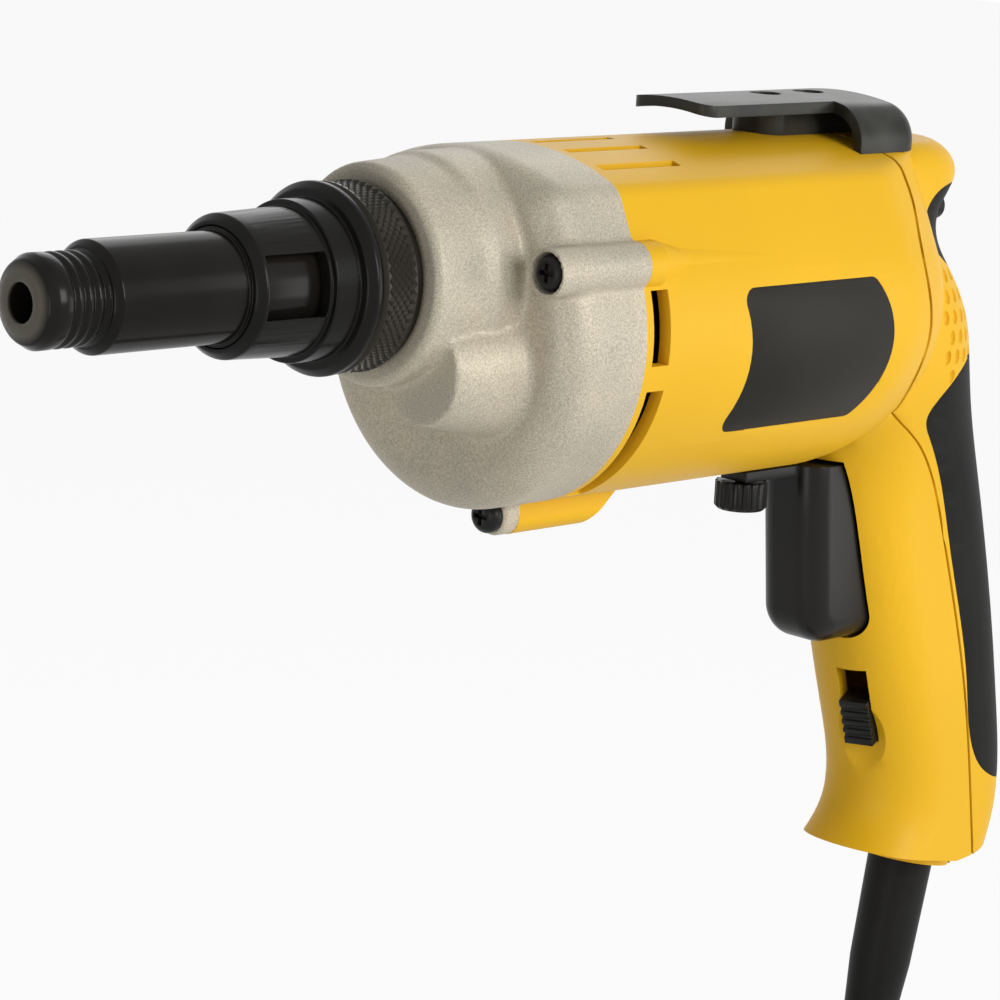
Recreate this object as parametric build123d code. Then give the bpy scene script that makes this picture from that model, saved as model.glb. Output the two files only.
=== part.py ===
from build123d import *
import os
from math import acos, atan2, copysign, cos, degrees, pi, radians, sin, sqrt, tan

# A corded pistol-grip screwdriver with an adjustable clutch, in millimetres.
# While it is drawn, the spindle runs along X with the nose tip at zero, +X is forward, +Y is the tool's
# left side and +Z is up. Each piece is moved as it is written, so that the middle of the grip is the origin.

os.makedirs("parts", exist_ok=True)

# Grip middle, measured back from the joint between gear case and motor housing
grip_behind_joint = 144.0
grip_height = -95.0

# Clearances
running_clearance = 0.05
press_clearance = 0.02
face_gap = 0.3
hand_clearance = 0.7
cut_past = 2.0

# Nosepiece
tip_length = 15.0
tip_radius = 9.5
tip_face_radius = 6.0
tip_shoulder = 3.0
tip_hole_radius = 4.0
tip_hole_length = 7.0
thread_grooves = 4
thread_pitch = 2.4
thread_depth = 0.7
thread_half_width = 0.84
nose_length = 33.0
nose_radius = 11.4
nose_chamfer = 1.4
nose_bore_radius = 7.5
sleeve_wall = 2.2

# Bit holder and spindle
spindle_radius = 6.5
bit_holder_length = 54.0
bit_across_flats = 6.45
bit_socket_depth = 25.0
ring_groove_from_front = 12.0
ring_width = 2.2
ring_depth = 0.9
spindle_travel = 3.0
dog_count = 3
dog_height = 3.0
dog_angle = 44.0
clutch_radius = 13.0
clutch_flange = 3.0
tail_radius = 3.45
tail_length = 9.0

# Snout of the gear case, with the front bush inside and the collar outside
bush_wall = 1.45
snout_wall = 2.0
snout_length = 17.0
collar_wall = 2.5
collar_length = 28.5
collar_tube_length = 18.5
collar_draft = 0.6
collar_step_radius = 16.8
collar_step_length = 6.3
collar_ring_radius = 20.2
collar_ring_round = 1.6
window_count = 2
window_angle = 52.0
window_length = 15.4
window_from_front = 2.6
window_turn = 6.0
lock_ring_length = 11.2
lock_ring_radius = 20.0
lock_ring_band = 2.5
lock_ring_band_radius = 18.8
spigot_radius = 16.0
spring_wall = 3.0
spring_thickness = 2.4

# Gear case
neck_length = 23.0
neck_rim_radius = 23.5
neck_rim_draft = 0.7
neck_edge_round = 1.5
neck_radius = 25.3
neck_rim_length = 13.0
neck_cone_length = 2.5
case_depth = 22.7
case_wall = 4.0
case_edge_round = 8.0
boss_radius = 11.2
boss_base_radius = 17.3
boss_stand = 17.5
screw_lug_radius = 5.2
screw_lug_half_span = 34.4
screw_lug_height = 4.0
screw_seat_stand = 0.5
bottom_lug_drop = 42.5
bottom_lug_length = 4.3
bottom_lug_half_width = 4.7
bottom_lug_flat = 22.0
bottom_lug_fade = 34.0
case_screw_radius = 2.0
case_screw_head_radius = 4.0
case_screw_head_height = 3.2
case_screw_dome = 2.2
side_screw_length = 30.0
bottom_screw_length = 22.0

# Body section: a round lower part, leaning flanks and a crowned top
motor_axis_drop = 13.0
body_radius = 39.5
flank_angle = 25.0
top_height = 26.0
crown_radius = 65.0
top_corner_round = 6.5
housing_wall = 3.2
straight_length = 84.0
rear_chamber_radius = 16.0
taper_stations = (
    (0.0, 39.5, 0.0),
    (8.0, 38.3, 0.0),
    (17.0, 35.2, 0.0),
    (26.0, 30.4, 0.3),
    (34.0, 23.2, 1.8),
    (40.0, 18.8, 4.0),
)

# Gears: teeth and modules of the two meshes
motor_pinion_teeth = 9
first_gear_teeth = 27
first_module = 0.8
second_pinion_teeth = 12
drive_gear_teeth = 38
second_module = 0.92
pressure_angle = 20.0
addendum = 0.8
dedendum = 1.15
tooth_thinning = 0.2
drive_gear_width = 9.0
first_gear_width = 6.0
gear_gap = 2.0
layshaft_radius = 3.0
layshaft_bush_wall = 1.5
layshaft_front_bush_wall = 3.0
layshaft_bush_length = 6.0
drive_journal_radius = 3.0
drive_bush_wall = 2.0

# Motor, from the joint backwards
plate_thickness = 5.0
bearing_width = 6.0
bearing_radius = 9.5
bearing_wall = 3.0
shaft_radius = 4.0
fan_gap = 3.0
fan_width = 10.0
fan_radius = 29.0
fan_blades = 12
fan_blade_thickness = 1.4
fan_plate = 2.0
baffle_gap = 1.0
baffle_thickness = 1.5
baffle_hole_radius = 24.0
coil_overhang = 5.0
core_length = 35.0
armature_radius = 21.0
air_gap = 0.6
armature_slots = 12
slot_width = 4.0
slot_depth = 8.0
winding_radius = 18.5
winding_bore = 7.5
field_slot_inner = 23.0
field_slot_outer = 31.0
field_slot_angle = 20.0
field_coil_half_angle = 55.0
commutator_gap = 8.0
commutator_length = 11.0
commutator_radius = 12.0
commutator_bars = 24
bulkhead_gap = 2.0
bulkhead_thickness = 4.0
bulkhead_window_radius = 4.7
bulkhead_window_ring = 19.0
bulkhead_window_turns = (60.0, 120.0, -60.0, -120.0)
brush_width = 6.0
brush_height = 9.0
brush_length = 14.0
brush_gap = 0.1
holder_wall = 1.2
holder_length = 15.0
holder_stand = 1.0

# Handle column: level, front and rear behind the joint, and half width at that level
handle_half_width = 17.0
hump_half_width = 26.5
column_stations = (
    (24.0, 96.5, 127.5, 14.0),
    (21.5, 92.0, 133.5, 19.0),
    (16.5, 86.0, 136.2, 21.0),
    (10.5, 80.0, 132.5, 21.8),
    (4.5, 76.0, 129.7, 22.5),
    (-0.5, 76.0, 131.0, 23.0),
    (-6.5, 76.0, 135.2, 24.2),
    (-12.5, 76.0, 139.1, 25.6),
    (-19.0, 76.0, 142.0, hump_half_width),
    (-28.0, 76.0, 144.3, hump_half_width - 0.3),
    (-38.5, 86.0, 147.5, 24.0),
    (-50.0, 98.0, 152.5, handle_half_width + 3.4),
    (-62.0, 104.0, 157.5, handle_half_width + 1.0),
    (-80.0, 109.5, 163.3, handle_half_width),
    (-100.0, 116.0, 168.4, handle_half_width),
    (-120.0, 122.5, 172.7, handle_half_width),
    (-138.0, 127.0, 175.5, handle_half_width),
    (-150.0, 123.5, 174.5, handle_half_width + 0.2),
    (-168.0, 112.0, 173.0, handle_half_width + 0.5),
)
handle_bottom = -158.0
handle_bottom_tilt = 10.7
handle_heel_tilt = 6.0
handle_wall = 3.4
seam = (
    (95.0, 23.0),
    (98.0, 12.0),
    (95.5, 2.0),
    (97.0, -9.0),
    (99.0, -20.0),
    (98.5, -33.0),
    (106.0, -40.5),
    (117.0, -48.0),
    (127.0, -59.0),
    (136.0, -78.0),
    (149.0, -119.0),
    (155.0, -151.0),
)
seam_ends = (96.0, 42.0), (158.0, -175.0)

# Rubber skins of the handle cover, as outlines seen from the side
rubber_thickness = 1.6
grip_rubber_outline = (
    (185.0, -24.0),
    (140.0, -25.0),
    (127.0, -29.0),
    (119.0, -36.0),
    (116.5, -40.5),
    (120.4, -46.5),
    (132.4, -63.5),
    (138.4, -79.0),
    (148.8, -112.5),
    (152.2, -127.0),
    (157.0, -134.5),
    (164.0, -138.5),
    (185.0, -140.0),
)
web_rubber_outline = (
    (150.0, 15.0),
    (122.0, 14.2),
    (115.0, 11.8),
    (111.8, 7.5),
    (112.6, 2.5),
    (116.5, -0.8),
    (122.0, -4.0),
    (150.0, -8.0),
)

# Label plates on both flanks
label_thickness = 0.8
label_top = -2.3
label_bottom = -35.0
label_front = 30.0
label_rear = 75.0
label_front_bow = 3.7
label_rear_bow = 7.0
label_corner = 3.0

# Vents of the motor housing
top_vent_count = 5
top_vent_pitch = 10.0
top_vent_width = 2.6
top_vent_front = 2.5
top_vent_rear = 26.8
side_vent_front = 2.0
side_vent_rear = 7.2
side_vent_top = -1.0
side_vent_bottom = -17.0
round_vent_start = 14.0
round_vent_end = 66.0

# Trigger, speed knob and reverse slider
trigger_travel = 7.0
trigger_top = -53.4
trigger_bottom = -98.0
trigger_half_width = 9.6
trigger_front_top = 93.5
trigger_front_middle = 94.5
trigger_front_bottom = 98.0
trigger_rear = 114.0
trigger_foot_rear = 121.5
trigger_foot_top = -83.0
trigger_edge_round = 6.5
trigger_foot_round = 9.0
stem_radius = 3.0
stem_length = 13.0
stem_height = -76.0
knob_radius = 6.2
knob_thickness = 6.6
knob_behind = 78.3
knob_flutes = 18
knob_flute_radius = 0.75
knob_pin_radius = 1.6
arm_thickness = 2.6
arm_half_width = 4.0
slider_half_width = 3.8
slider_length = 12.0
slider_travel = 8.0
slider_left = 4.0
slider_top = -114.7
slider_stand = 1.2
slider_depth = 6.5
slider_ribs = 4
slider_dish_radius = 20.0
slider_dish_depth = 2.3
slider_dish_rise = 2.0
handle_front_rake = 18.0

# Switch body
switch_front = 122.5
switch_length = 32.0
switch_top = -60.0
switch_bottom = -82.0

# Belt hook
hook_half_width = 12.0
hook_foot_half_width = 21.0
hook_thickness = 2.4
hook_top = 34.7
hook_crown_drop = 3.0
hook_shoulder_round = 9.0
hook_rear_round = 6.0
hook_corner_round = 4.0
hook_front = 44.4
hook_arch_front = 87.5
hook_arch_rear = 109.5
hook_pad_front = 71.0
hook_pad_half_width = 7.0
hook_pad_round = 5.5
hook_screw_radius = 1.8
hook_screw_head_radius = 3.4
hook_screw_length = 13.0
hook_screw_behind = (77.0, 92.0)

# Cover screws: across and height, with posts inside both shells
cover_screw_radius = 1.7
cover_screw_head_radius = 3.2
cover_screw_head_height = 2.4
post_radius = 4.2
upper_screw = (14.5, 8.5)
lower_screw = (9.5, -146.5)
upper_seat_behind = 121.5
lower_seat_behind = 166.5
upper_screw_length = 28.5
lower_screw_length = 26.0

# Cord, protector, clamp, coil and plug
cord_diameter = 8.0
cord_exit_behind = 150.0
cord_tilt = 10.7
protector_length = 60.0
protector_top_radius = 8.2
protector_middle_radius = 7.7
protector_end_radius = 5.4
protector_flange_radius = 10.2
protector_flange = 2.0
exit_lip_radius = 12.0
exit_lip_height = 2.6
cord_inside = 36.0
clamp_up_cord = 27.0
clamp_width = 30.0
clamp_height = 7.0
clamp_depth = 5.0
clamp_across = 9.0
clamp_screw_radius = 1.5
clamp_screw_head_radius = 2.8
clamp_screw_length = 14.0
free_run = 34.0
coil_mean_radius = 44.0
coil_gap = 0.8
coil_layers = 4
turns_per_layer = 2
reverse_share = 0.25
coil_start_angle = 183.0
coil_steps_per_turn = 4
coil_tail = 40.0
tie_angle = 20.0
tie_width = 12.0
tie_thickness = 1.6
tie_slack = 0.4
plug_length = 38.0
plug_width = 24.0
plug_depth = 15.0
plug_neck_radius = 6.0
blade_spacing = 12.7
blade_width = 6.35
blade_thickness = 1.5
blade_length = 16.0

# Places that follow from the sizes above
step_x = -tip_length
collar_x = step_x - nose_length
collar_rear_x = collar_x - collar_length
lock_x = collar_rear_x - face_gap
neck_x = lock_x - lock_ring_length - face_gap
case_face_x = neck_x - neck_length
joint_x = case_face_x - case_depth
origin_shift = Location((-(joint_x - grip_behind_joint), 0, -grip_height))
motor_z = -motor_axis_drop

bush_bore = spindle_radius + running_clearance
bush_radius = bush_bore + bush_wall
snout_bore = bush_radius + press_clearance
snout_radius = snout_bore + snout_wall
sleeve_bore = snout_radius + running_clearance
sleeve_radius = sleeve_bore + sleeve_wall
collar_bore = sleeve_radius + running_clearance
collar_radius = collar_bore + collar_wall
snout_rear_x = collar_rear_x
snout_x = snout_rear_x + snout_length

first_distance = first_module * (motor_pinion_teeth + first_gear_teeth) / 2
second_distance = second_module * (second_pinion_teeth + drive_gear_teeth) / 2
layshaft_z = (first_distance**2 - second_distance**2 - motor_axis_drop**2) / (2 * motor_axis_drop)
layshaft_y = sqrt(second_distance**2 - layshaft_z**2)


def at(behind):
    """X of a place that is measured back from the joint between case and housing."""
    return joint_x - behind


plate_rear = at(plate_thickness)
front_bearing_x = plate_rear - face_gap
front_bearing_rear = front_bearing_x - bearing_width
plate_boss_rear = front_bearing_rear - face_gap
fan_x = plate_boss_rear - fan_gap
fan_rear = fan_x - fan_width
baffle_x = fan_rear - baffle_gap
baffle_rear = baffle_x - baffle_thickness
coil_x = baffle_rear - face_gap
core_x = coil_x - coil_overhang
core_rear = core_x - core_length
coil_rear = core_rear - coil_overhang
commutator_x = core_rear - commutator_gap
commutator_rear = commutator_x - commutator_length
bulkhead_x = commutator_rear - bulkhead_gap
bulkhead_rear = bulkhead_x - bulkhead_thickness
rear_bearing_x = bulkhead_rear - face_gap
rear_bearing_rear = rear_bearing_x - bearing_width
shaft_end = rear_bearing_rear - face_gap
field_radius = body_radius - housing_wall - running_clearance
housing_bore = body_radius - housing_wall

first_gear_rear = joint_x + gear_gap
first_gear_x = first_gear_rear + first_gear_width
drive_gear_rear = first_gear_x + gear_gap
drive_gear_x = drive_gear_rear + drive_gear_width


def bar(front, rear, radius, y=0.0, z=0.0):
    """Round bar along X between two stations."""
    return Pos((front + rear) / 2, y, z) * Rot(0, 90, 0) * Cylinder(radius, front - rear)


def pipe(front, rear, radius, bore, y=0.0, z=0.0):
    """Round bar with a through bore."""
    return bar(front, rear, radius, y, z) - bar(front + cut_past, rear - cut_past, bore, y, z)


def block(front, rear, y_low, y_high, z_low, z_high):
    """Rectangular block between two stations."""
    middle = ((front + rear) / 2, (y_low + y_high) / 2, (z_low + z_high) / 2)
    return Pos(*middle) * Box(front - rear, y_high - y_low, z_high - z_low)


def turned(*points):
    """Solid turned about the spindle axis from an outline of station and radius."""
    outline = Polyline(*[(x, 0, radius) for x, radius in points], close=True)
    return revolve(make_face(outline), Axis.X)


def side_prism(points, half_depth):
    """Closed outline in the side view, given behind the joint and by height, drawn out to both sides."""
    outline = Polyline(*[(at(behind), 0, height) for behind, height in points], close=True)
    return extrude(make_face(outline), half_depth, dir=(0, 1, 0), both=True)


def mirrored(shape):
    """Copy of a piece on the other side of the tool."""
    return mirror(shape, Plane.XZ)


def write(name, *solids):
    """Write one node, moved to the grip's frame."""
    moved = [origin_shift * solid for solid in solids]
    shape = moved[0] if len(moved) == 1 else Compound(children=moved)
    export_step(shape, f"parts/{name}.step")


# Nose

def make_nosepiece():
    wide_bore_x = -tip_hole_length
    outside = turned(
        (0, 0),
        (0, tip_face_radius),
        (-tip_shoulder / 3, (tip_face_radius + 2 * tip_radius) / 3),
        (-tip_shoulder, tip_radius),
        (step_x, tip_radius),
        (step_x, nose_radius - nose_chamfer),
        (step_x - nose_chamfer, nose_radius),
        (collar_x - running_clearance, nose_radius),
        (collar_x - running_clearance, sleeve_radius),
        (collar_rear_x, sleeve_radius),
        (collar_rear_x, 0),
    )
    first_groove_x = step_x + thread_pitch / 2
    for number in range(thread_grooves):
        middle = first_groove_x + number * thread_pitch
        outside -= turned(
            (middle - thread_half_width, tip_radius + cut_past),
            (middle - thread_half_width, tip_radius),
            (middle, tip_radius - thread_depth),
            (middle + thread_half_width, tip_radius),
            (middle + thread_half_width, tip_radius + cut_past),
        )
    inside = bar(cut_past, wide_bore_x - cut_past, tip_hole_radius)
    inside += bar(wide_bore_x, snout_x, nose_bore_radius)
    inside += bar(snout_x + face_gap, collar_rear_x - cut_past, sleeve_bore)
    return outside - inside


def make_adjusting_collar():
    ring_x = collar_x - collar_tube_length - collar_step_length
    outside = turned(
        (collar_x, 0),
        (collar_x, collar_radius - collar_ring_round),
        (collar_x - collar_ring_round, collar_radius),
        (collar_x - collar_tube_length, collar_radius + collar_draft),
        (collar_x - collar_tube_length, collar_step_radius),
        (ring_x, collar_step_radius),
        (ring_x, collar_ring_radius - collar_ring_round),
        (ring_x - collar_ring_round, collar_ring_radius),
        (collar_rear_x + collar_ring_round / 2, collar_ring_radius),
        (collar_rear_x, collar_ring_radius - collar_ring_round / 2),
        (collar_rear_x, 0),
    )
    collar = outside - bar(collar_x + cut_past, collar_rear_x - cut_past, collar_bore)
    window_x = collar_x - window_from_front
    half_chord = collar_radius * sin(radians(window_angle / 2))
    outer = collar_step_radius + cut_past
    opening = block(window_x, window_x - window_length, 0, outer, -half_chord, half_chord)
    for number in range(window_count):
        collar -= Rot(window_turn + number * 360 / window_count, 0, 0) * opening
    return collar


def make_lock_ring():
    rear = neck_x + face_gap
    band_x = rear + lock_ring_band
    bevel = collar_ring_round / 2
    ring = turned(
        (lock_x, 0),
        (lock_x, lock_ring_radius - bevel),
        (lock_x - bevel, lock_ring_radius),
        (band_x, lock_ring_radius),
        (band_x, lock_ring_band_radius),
        (rear, lock_ring_band_radius),
        (rear, 0),
    )
    return ring - bar(lock_x + cut_past, rear - cut_past, spigot_radius + running_clearance)


# Bit holder, spindle and clutch

bit_front_x = -tip_hole_length - face_gap
holder_rear_x = bit_front_x - bit_holder_length
ring_x = bit_front_x - ring_groove_from_front
drive_dog_x = drive_gear_x + dog_height
flange_rear_x = drive_dog_x + dog_height + face_gap
flange_x = flange_rear_x + clutch_flange


def make_bit_holder():
    socket = extrude(RegularPolygon(bit_across_flats / 2, 6, major_radius=False), bit_socket_depth + cut_past)
    socket = Pos(bit_front_x + cut_past, 0, 0) * Rot(0, -90, 0) * socket
    groove = pipe(ring_x, ring_x - ring_width, spindle_radius + cut_past, spindle_radius - ring_depth)
    return bar(bit_front_x, holder_rear_x, spindle_radius) - socket - groove


def make_bit_ring():
    outer = spindle_radius - running_clearance
    inner = spindle_radius - ring_depth + press_clearance
    return pipe(ring_x - press_clearance, ring_x - ring_width + press_clearance, outer, inner)


def dogs(front, rear, turn):
    """Clutch dogs as sectors of a ring, evenly spread."""
    ring = pipe(front, rear, clutch_radius, tail_radius + 2 * dog_height)
    gaps = ring
    for number in range(dog_count):
        gaps -= Rot(turn + number * 360 / dog_count, 0, 0) * sector(front, rear, clutch_radius, dog_angle)
    return ring - gaps


def sector(front, rear, radius, angle):
    """Wedge of a disc about the spindle axis, centred on +Y, running past both stations."""
    reach = (radius + cut_past) / cos(radians(angle / 2))
    half = radians(angle / 2)
    corners = ((0, 0), (reach * cos(half), -reach * sin(half)), (reach * cos(half), reach * sin(half)))
    face = Plane((rear - cut_past, 0, 0), x_dir=(0, 1, 0), z_dir=(1, 0, 0)) * make_face(
        Polyline(*corners, close=True)
    )
    return extrude(face, front - rear + 2 * cut_past, dir=(1, 0, 0))


def make_spindle():
    spindle = bar(holder_rear_x, flange_x, spindle_radius)
    spindle += bar(flange_x, flange_rear_x, clutch_radius)
    spindle += dogs(flange_rear_x, flange_rear_x - dog_height, 0)
    return spindle + bar(flange_rear_x, flange_rear_x - tail_length, tail_radius)


def make_clutch_spring():
    """Stack of wave washers round the spindle's tail, resting on the drive gear."""
    bore = tail_radius + face_gap
    return pipe(drive_gear_x + spring_thickness, drive_gear_x, bore + spring_wall, bore)


def gear_face(teeth, module, phase):
    """Spur gear outline with involute flanks, in its own plane."""
    pitch_radius = module * teeth / 2
    base = pitch_radius * cos(radians(pressure_angle))
    tip = pitch_radius + addendum * module
    root = pitch_radius - dedendum * module
    flank_start = max(base, root + module / 100)
    half_tooth = pi / 2 / teeth * (1 - tooth_thinning)

    def involute(angle):
        return tan(angle) - angle

    def half_angle(radius):
        widest = half_tooth + involute(radians(pressure_angle))
        return widest if radius <= base else widest - involute(acos(base / radius))

    radii = (root, flank_start, (flank_start + tip) / 2, tip)
    points = []
    for number in range(teeth):
        middle = radians(phase) + 2 * pi * number / teeth
        flank = [(radius, -half_angle(radius)) for radius in radii]
        flank += [(radius, half_angle(radius)) for radius in reversed(radii)]
        points += [(radius * cos(middle + turn), radius * sin(middle + turn)) for radius, turn in flank]
    return make_face(Polyline(*points, close=True))


def gear(front, rear, teeth, module, phase, y=0.0, z=0.0):
    """Spur gear between two stations; the phase is the angle of one tooth from +Y towards +Z."""
    plane = Plane((rear, y, z), x_dir=(0, 1, 0), z_dir=(1, 0, 0))
    return extrude(plane * gear_face(teeth, module, phase), front - rear, dir=(1, 0, 0))


# Angle of each line of centres, so that a tooth of one gear faces a gap of the other
motor_to_layshaft = degrees(atan2(layshaft_z - motor_z, layshaft_y))
layshaft_to_spindle = degrees(atan2(-layshaft_z, -layshaft_y))


def make_drive_gear():
    phase = layshaft_to_spindle + 180 + 180 / drive_gear_teeth
    body = gear(drive_gear_x, drive_gear_rear, drive_gear_teeth, second_module, phase)
    body += dogs(drive_dog_x, drive_gear_x, 180 / dog_count)
    body += bar(drive_gear_rear, plate_rear + face_gap, drive_journal_radius)
    tail_hole_end = flange_rear_x - tail_length - spindle_travel - face_gap
    return body - bar(drive_dog_x + cut_past, tail_hole_end,
                      tail_radius + running_clearance)


def make_layshaft():
    front = layshaft_front_x - face_gap
    shaft = bar(front, plate_rear + face_gap, layshaft_radius, layshaft_y, layshaft_z)
    pinion = gear(
        drive_gear_x, drive_gear_rear, second_pinion_teeth, second_module, layshaft_to_spindle,
        layshaft_y, layshaft_z,
    )
    return shaft + pinion


def make_intermediate_gear():
    phase = motor_to_layshaft + 180 + 180 / first_gear_teeth
    wheel = gear(first_gear_x, first_gear_rear, first_gear_teeth, first_module, phase, layshaft_y, layshaft_z)
    bore = layshaft_radius + press_clearance
    return wheel - bar(first_gear_x + cut_past, first_gear_rear - cut_past, bore, layshaft_y, layshaft_z)


boss_x = case_face_x + boss_stand
layshaft_front_x = boss_x - case_wall
layshaft_bush_rear = layshaft_front_x - layshaft_bush_length
layshaft_bore = layshaft_radius + running_clearance
layshaft_front_radius = layshaft_bore + layshaft_front_bush_wall
layshaft_rear_radius = layshaft_bore + layshaft_bush_wall
drive_bush_bore = drive_journal_radius + running_clearance
drive_bush_radius = drive_bush_bore + drive_bush_wall


# Gear case

def body_face(behind, radius, inset=0.0, drop=0.0):
    """Cross-section of the body across X, shrunk all round by the inset and with its crown dropped."""
    lean = radians(flank_angle)
    lower = radius - inset
    flank = (lower * cos(lean), motor_z + lower * sin(lean))
    crown_centre = top_height - drop - crown_radius
    crown = crown_radius - inset
    along = (-sin(lean), cos(lean))
    rise = flank[1] - crown_centre
    forward = flank[0] * along[0] + rise * along[1]
    reach = -forward + sqrt(forward**2 - (flank[0] ** 2 + rise**2 - crown**2))
    corner = (flank[0] + reach * along[0], flank[1] + reach * along[1])
    left_flank = (-flank[0], flank[1])
    left_corner = (-corner[0], corner[1])
    edges = [
        Line(flank, corner),
        ThreePointArc(corner, (0, top_height - drop - inset), left_corner),
        Line(left_corner, left_flank),
        ThreePointArc(left_flank, (0, motor_z - lower), flank),
    ]
    face = make_face(edges)
    top_corners = face.vertices().sort_by(Axis.Y)[-2:]
    rounded = fillet(top_corners, top_corner_round - min(inset, top_corner_round / 2))
    return Plane((at(behind), 0, 0), x_dir=(0, 1, 0), z_dir=(1, 0, 0)) * rounded


def screw_lug_places():
    """Across and height of the three screws that hold the case to the housing."""
    side = screw_lug_half_span
    return (side, screw_lug_height), (-side, screw_lug_height), (0.0, motor_z - bottom_lug_drop)


def case_screw_seat(y):
    return case_face_x + screw_seat_stand if y else joint_x + bottom_lug_length


def case_screw_end(y):
    return case_screw_seat(y) - (side_screw_length if y else bottom_screw_length)


def make_gear_case():
    shell = extrude(body_face(0, body_radius), case_depth, dir=(1, 0, 0))
    shell = fillet(shell.faces().sort_by(Axis.X)[-1].edges(), case_edge_round)
    shell += turned(
        (neck_x, 0),
        (neck_x, neck_rim_radius - neck_edge_round),
        (neck_x - neck_edge_round / 3, neck_rim_radius - neck_edge_round / 3),
        (neck_x - neck_edge_round, neck_rim_radius),
        (neck_x - neck_rim_length, neck_rim_radius + neck_rim_draft),
        (neck_x - neck_rim_length - neck_cone_length, neck_radius),
        (case_face_x - case_edge_round, neck_radius),
        (case_face_x - case_edge_round, 0),
    )
    boss_length = boss_stand + case_edge_round
    boss = Pos(boss_x - boss_length / 2, layshaft_y, layshaft_z) * Rot(0, 90, 0)
    shell += boss * Cone(boss_base_radius, boss_radius, boss_length)
    shell += bar(snout_x, snout_rear_x, snout_radius)
    shell += bar(snout_rear_x, neck_x, spigot_radius)
    for y, z in screw_lug_places():
        radius = screw_lug_radius if y else bottom_lug_half_width
        shell += bar(case_screw_seat(y) + case_screw_head_height * bool(y), joint_x, radius, y, z)
    bottom = motor_z - bottom_lug_drop
    half = bottom_lug_half_width
    shell += block(joint_x + bottom_lug_length, joint_x, -half, half, bottom, motor_z - housing_bore)
    chamber_x = case_face_x - case_wall
    cavity = extrude(body_face(0, body_radius, case_wall), chamber_x - joint_x, dir=(1, 0, 0))
    clutch_room = flange_x + clutch_flange
    cavity += bar(clutch_room, chamber_x - cut_past, neck_rim_radius - case_wall)
    cavity += bar(snout_x + cut_past, clutch_room - cut_past, snout_bore)
    pinion_room = second_module * (second_pinion_teeth / 2 + addendum) + face_gap
    cavity += bar(drive_gear_x + face_gap, chamber_x - cut_past, pinion_room, layshaft_y, layshaft_z)
    cavity += bar(layshaft_front_x, chamber_x - cut_past, layshaft_front_radius + press_clearance,
                  layshaft_y, layshaft_z)
    shell -= cavity
    for y, z in screw_lug_places():
        shell -= bar(case_screw_seat(y) + cut_past, joint_x - cut_past, case_screw_radius + face_gap, y, z)
        head_room = case_screw_head_radius + face_gap
        shell -= bar(case_screw_seat(y) + 2 * case_screw_head_height, case_screw_seat(y), head_room, y, z)
    return shell


def make_case_screws():
    screws = []
    for y, z in screw_lug_places():
        seat = case_screw_seat(y)
        head = bar(seat + case_screw_head_height, seat, case_screw_head_radius, y, z)
        head = fillet(head.faces().sort_by(Axis.X)[-1].edges(), case_screw_dome)
        recess = block(seat + 2 * case_screw_head_height, seat + case_screw_head_height / 2,
                       -case_screw_radius, case_screw_radius, -case_screw_radius / 4, case_screw_radius / 4)
        cross = recess + Rot(90, 0, 0) * recess
        shank = bar(seat, case_screw_end(y), case_screw_radius, y, z)
        screws.append(head - Pos(0, y, z) * cross + shank)
    return screws


# Motor

def make_bearing_plate():
    radius = housing_bore - running_clearance
    plate = bar(joint_x, plate_rear, radius, z=motor_z)
    plate += bar(plate_rear, plate_boss_rear, bearing_radius + bearing_wall, z=motor_z)
    plate -= bar(plate_rear, plate_boss_rear - cut_past, bearing_radius + press_clearance, z=motor_z)
    pinion_room = first_module * (motor_pinion_teeth / 2 + addendum) + face_gap
    plate -= bar(joint_x + cut_past, plate_rear - cut_past, pinion_room, z=motor_z)
    plate -= bar(joint_x + cut_past, plate_rear - cut_past, drive_bush_radius + press_clearance)
    rear_hole = layshaft_rear_radius + press_clearance
    plate -= bar(joint_x + cut_past, plate_rear - cut_past, rear_hole, layshaft_y, layshaft_z)
    vent_bore = bearing_radius + 2 * bearing_wall
    vent = pipe(joint_x + cut_past, plate_rear - cut_past, radius - case_wall, vent_bore)
    for turn in (-115, 180):
        wedge = Rot(turn, 0, 0) * sector(joint_x, plate_rear, radius, field_coil_half_angle)
        plate -= Pos(0, 0, motor_z) * (vent & wedge)
    return plate


def make_armature_shaft():
    pinion_rear = plate_rear + face_gap
    pinion = gear(first_gear_x, pinion_rear, motor_pinion_teeth, first_module, motor_to_layshaft, z=motor_z)
    return pinion + bar(pinion_rear, shaft_end, shaft_radius - running_clearance, z=motor_z)


def around_motor(shape, count):
    """Copies of a piece evenly spread about the motor axis, fused into one shape."""
    copies = [Pos(0, 0, motor_z) * Rot(number * 360 / count, 0, 0) * shape for number in range(count)]
    return Part() + copies


def make_armature_core():
    core = pipe(core_x, core_rear, armature_radius, shaft_radius, z=motor_z)
    slot = block(core_x + cut_past, core_rear - cut_past, armature_radius - slot_depth,
                 armature_radius + cut_past, -slot_width / 2, slot_width / 2)
    return core - around_motor(slot, armature_slots)


def make_armature_winding():
    front = pipe(coil_x, core_x, winding_radius, winding_bore, z=motor_z)
    rear = pipe(core_rear, coil_rear, winding_radius, winding_bore, z=motor_z)
    half = slot_width / 2 - press_clearance
    slot_floor = armature_radius - slot_depth + press_clearance
    filled = block(coil_x, coil_rear, slot_floor, winding_radius, -half, half)
    return front + rear + around_motor(filled, armature_slots)


def make_commutator():
    body = pipe(commutator_x, commutator_rear, commutator_radius, shaft_radius, z=motor_z)
    cut = block(commutator_x + cut_past, commutator_rear - cut_past, commutator_radius - holder_wall,
                commutator_radius + cut_past, -face_gap, face_gap)
    return body - around_motor(cut, commutator_bars)


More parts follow.
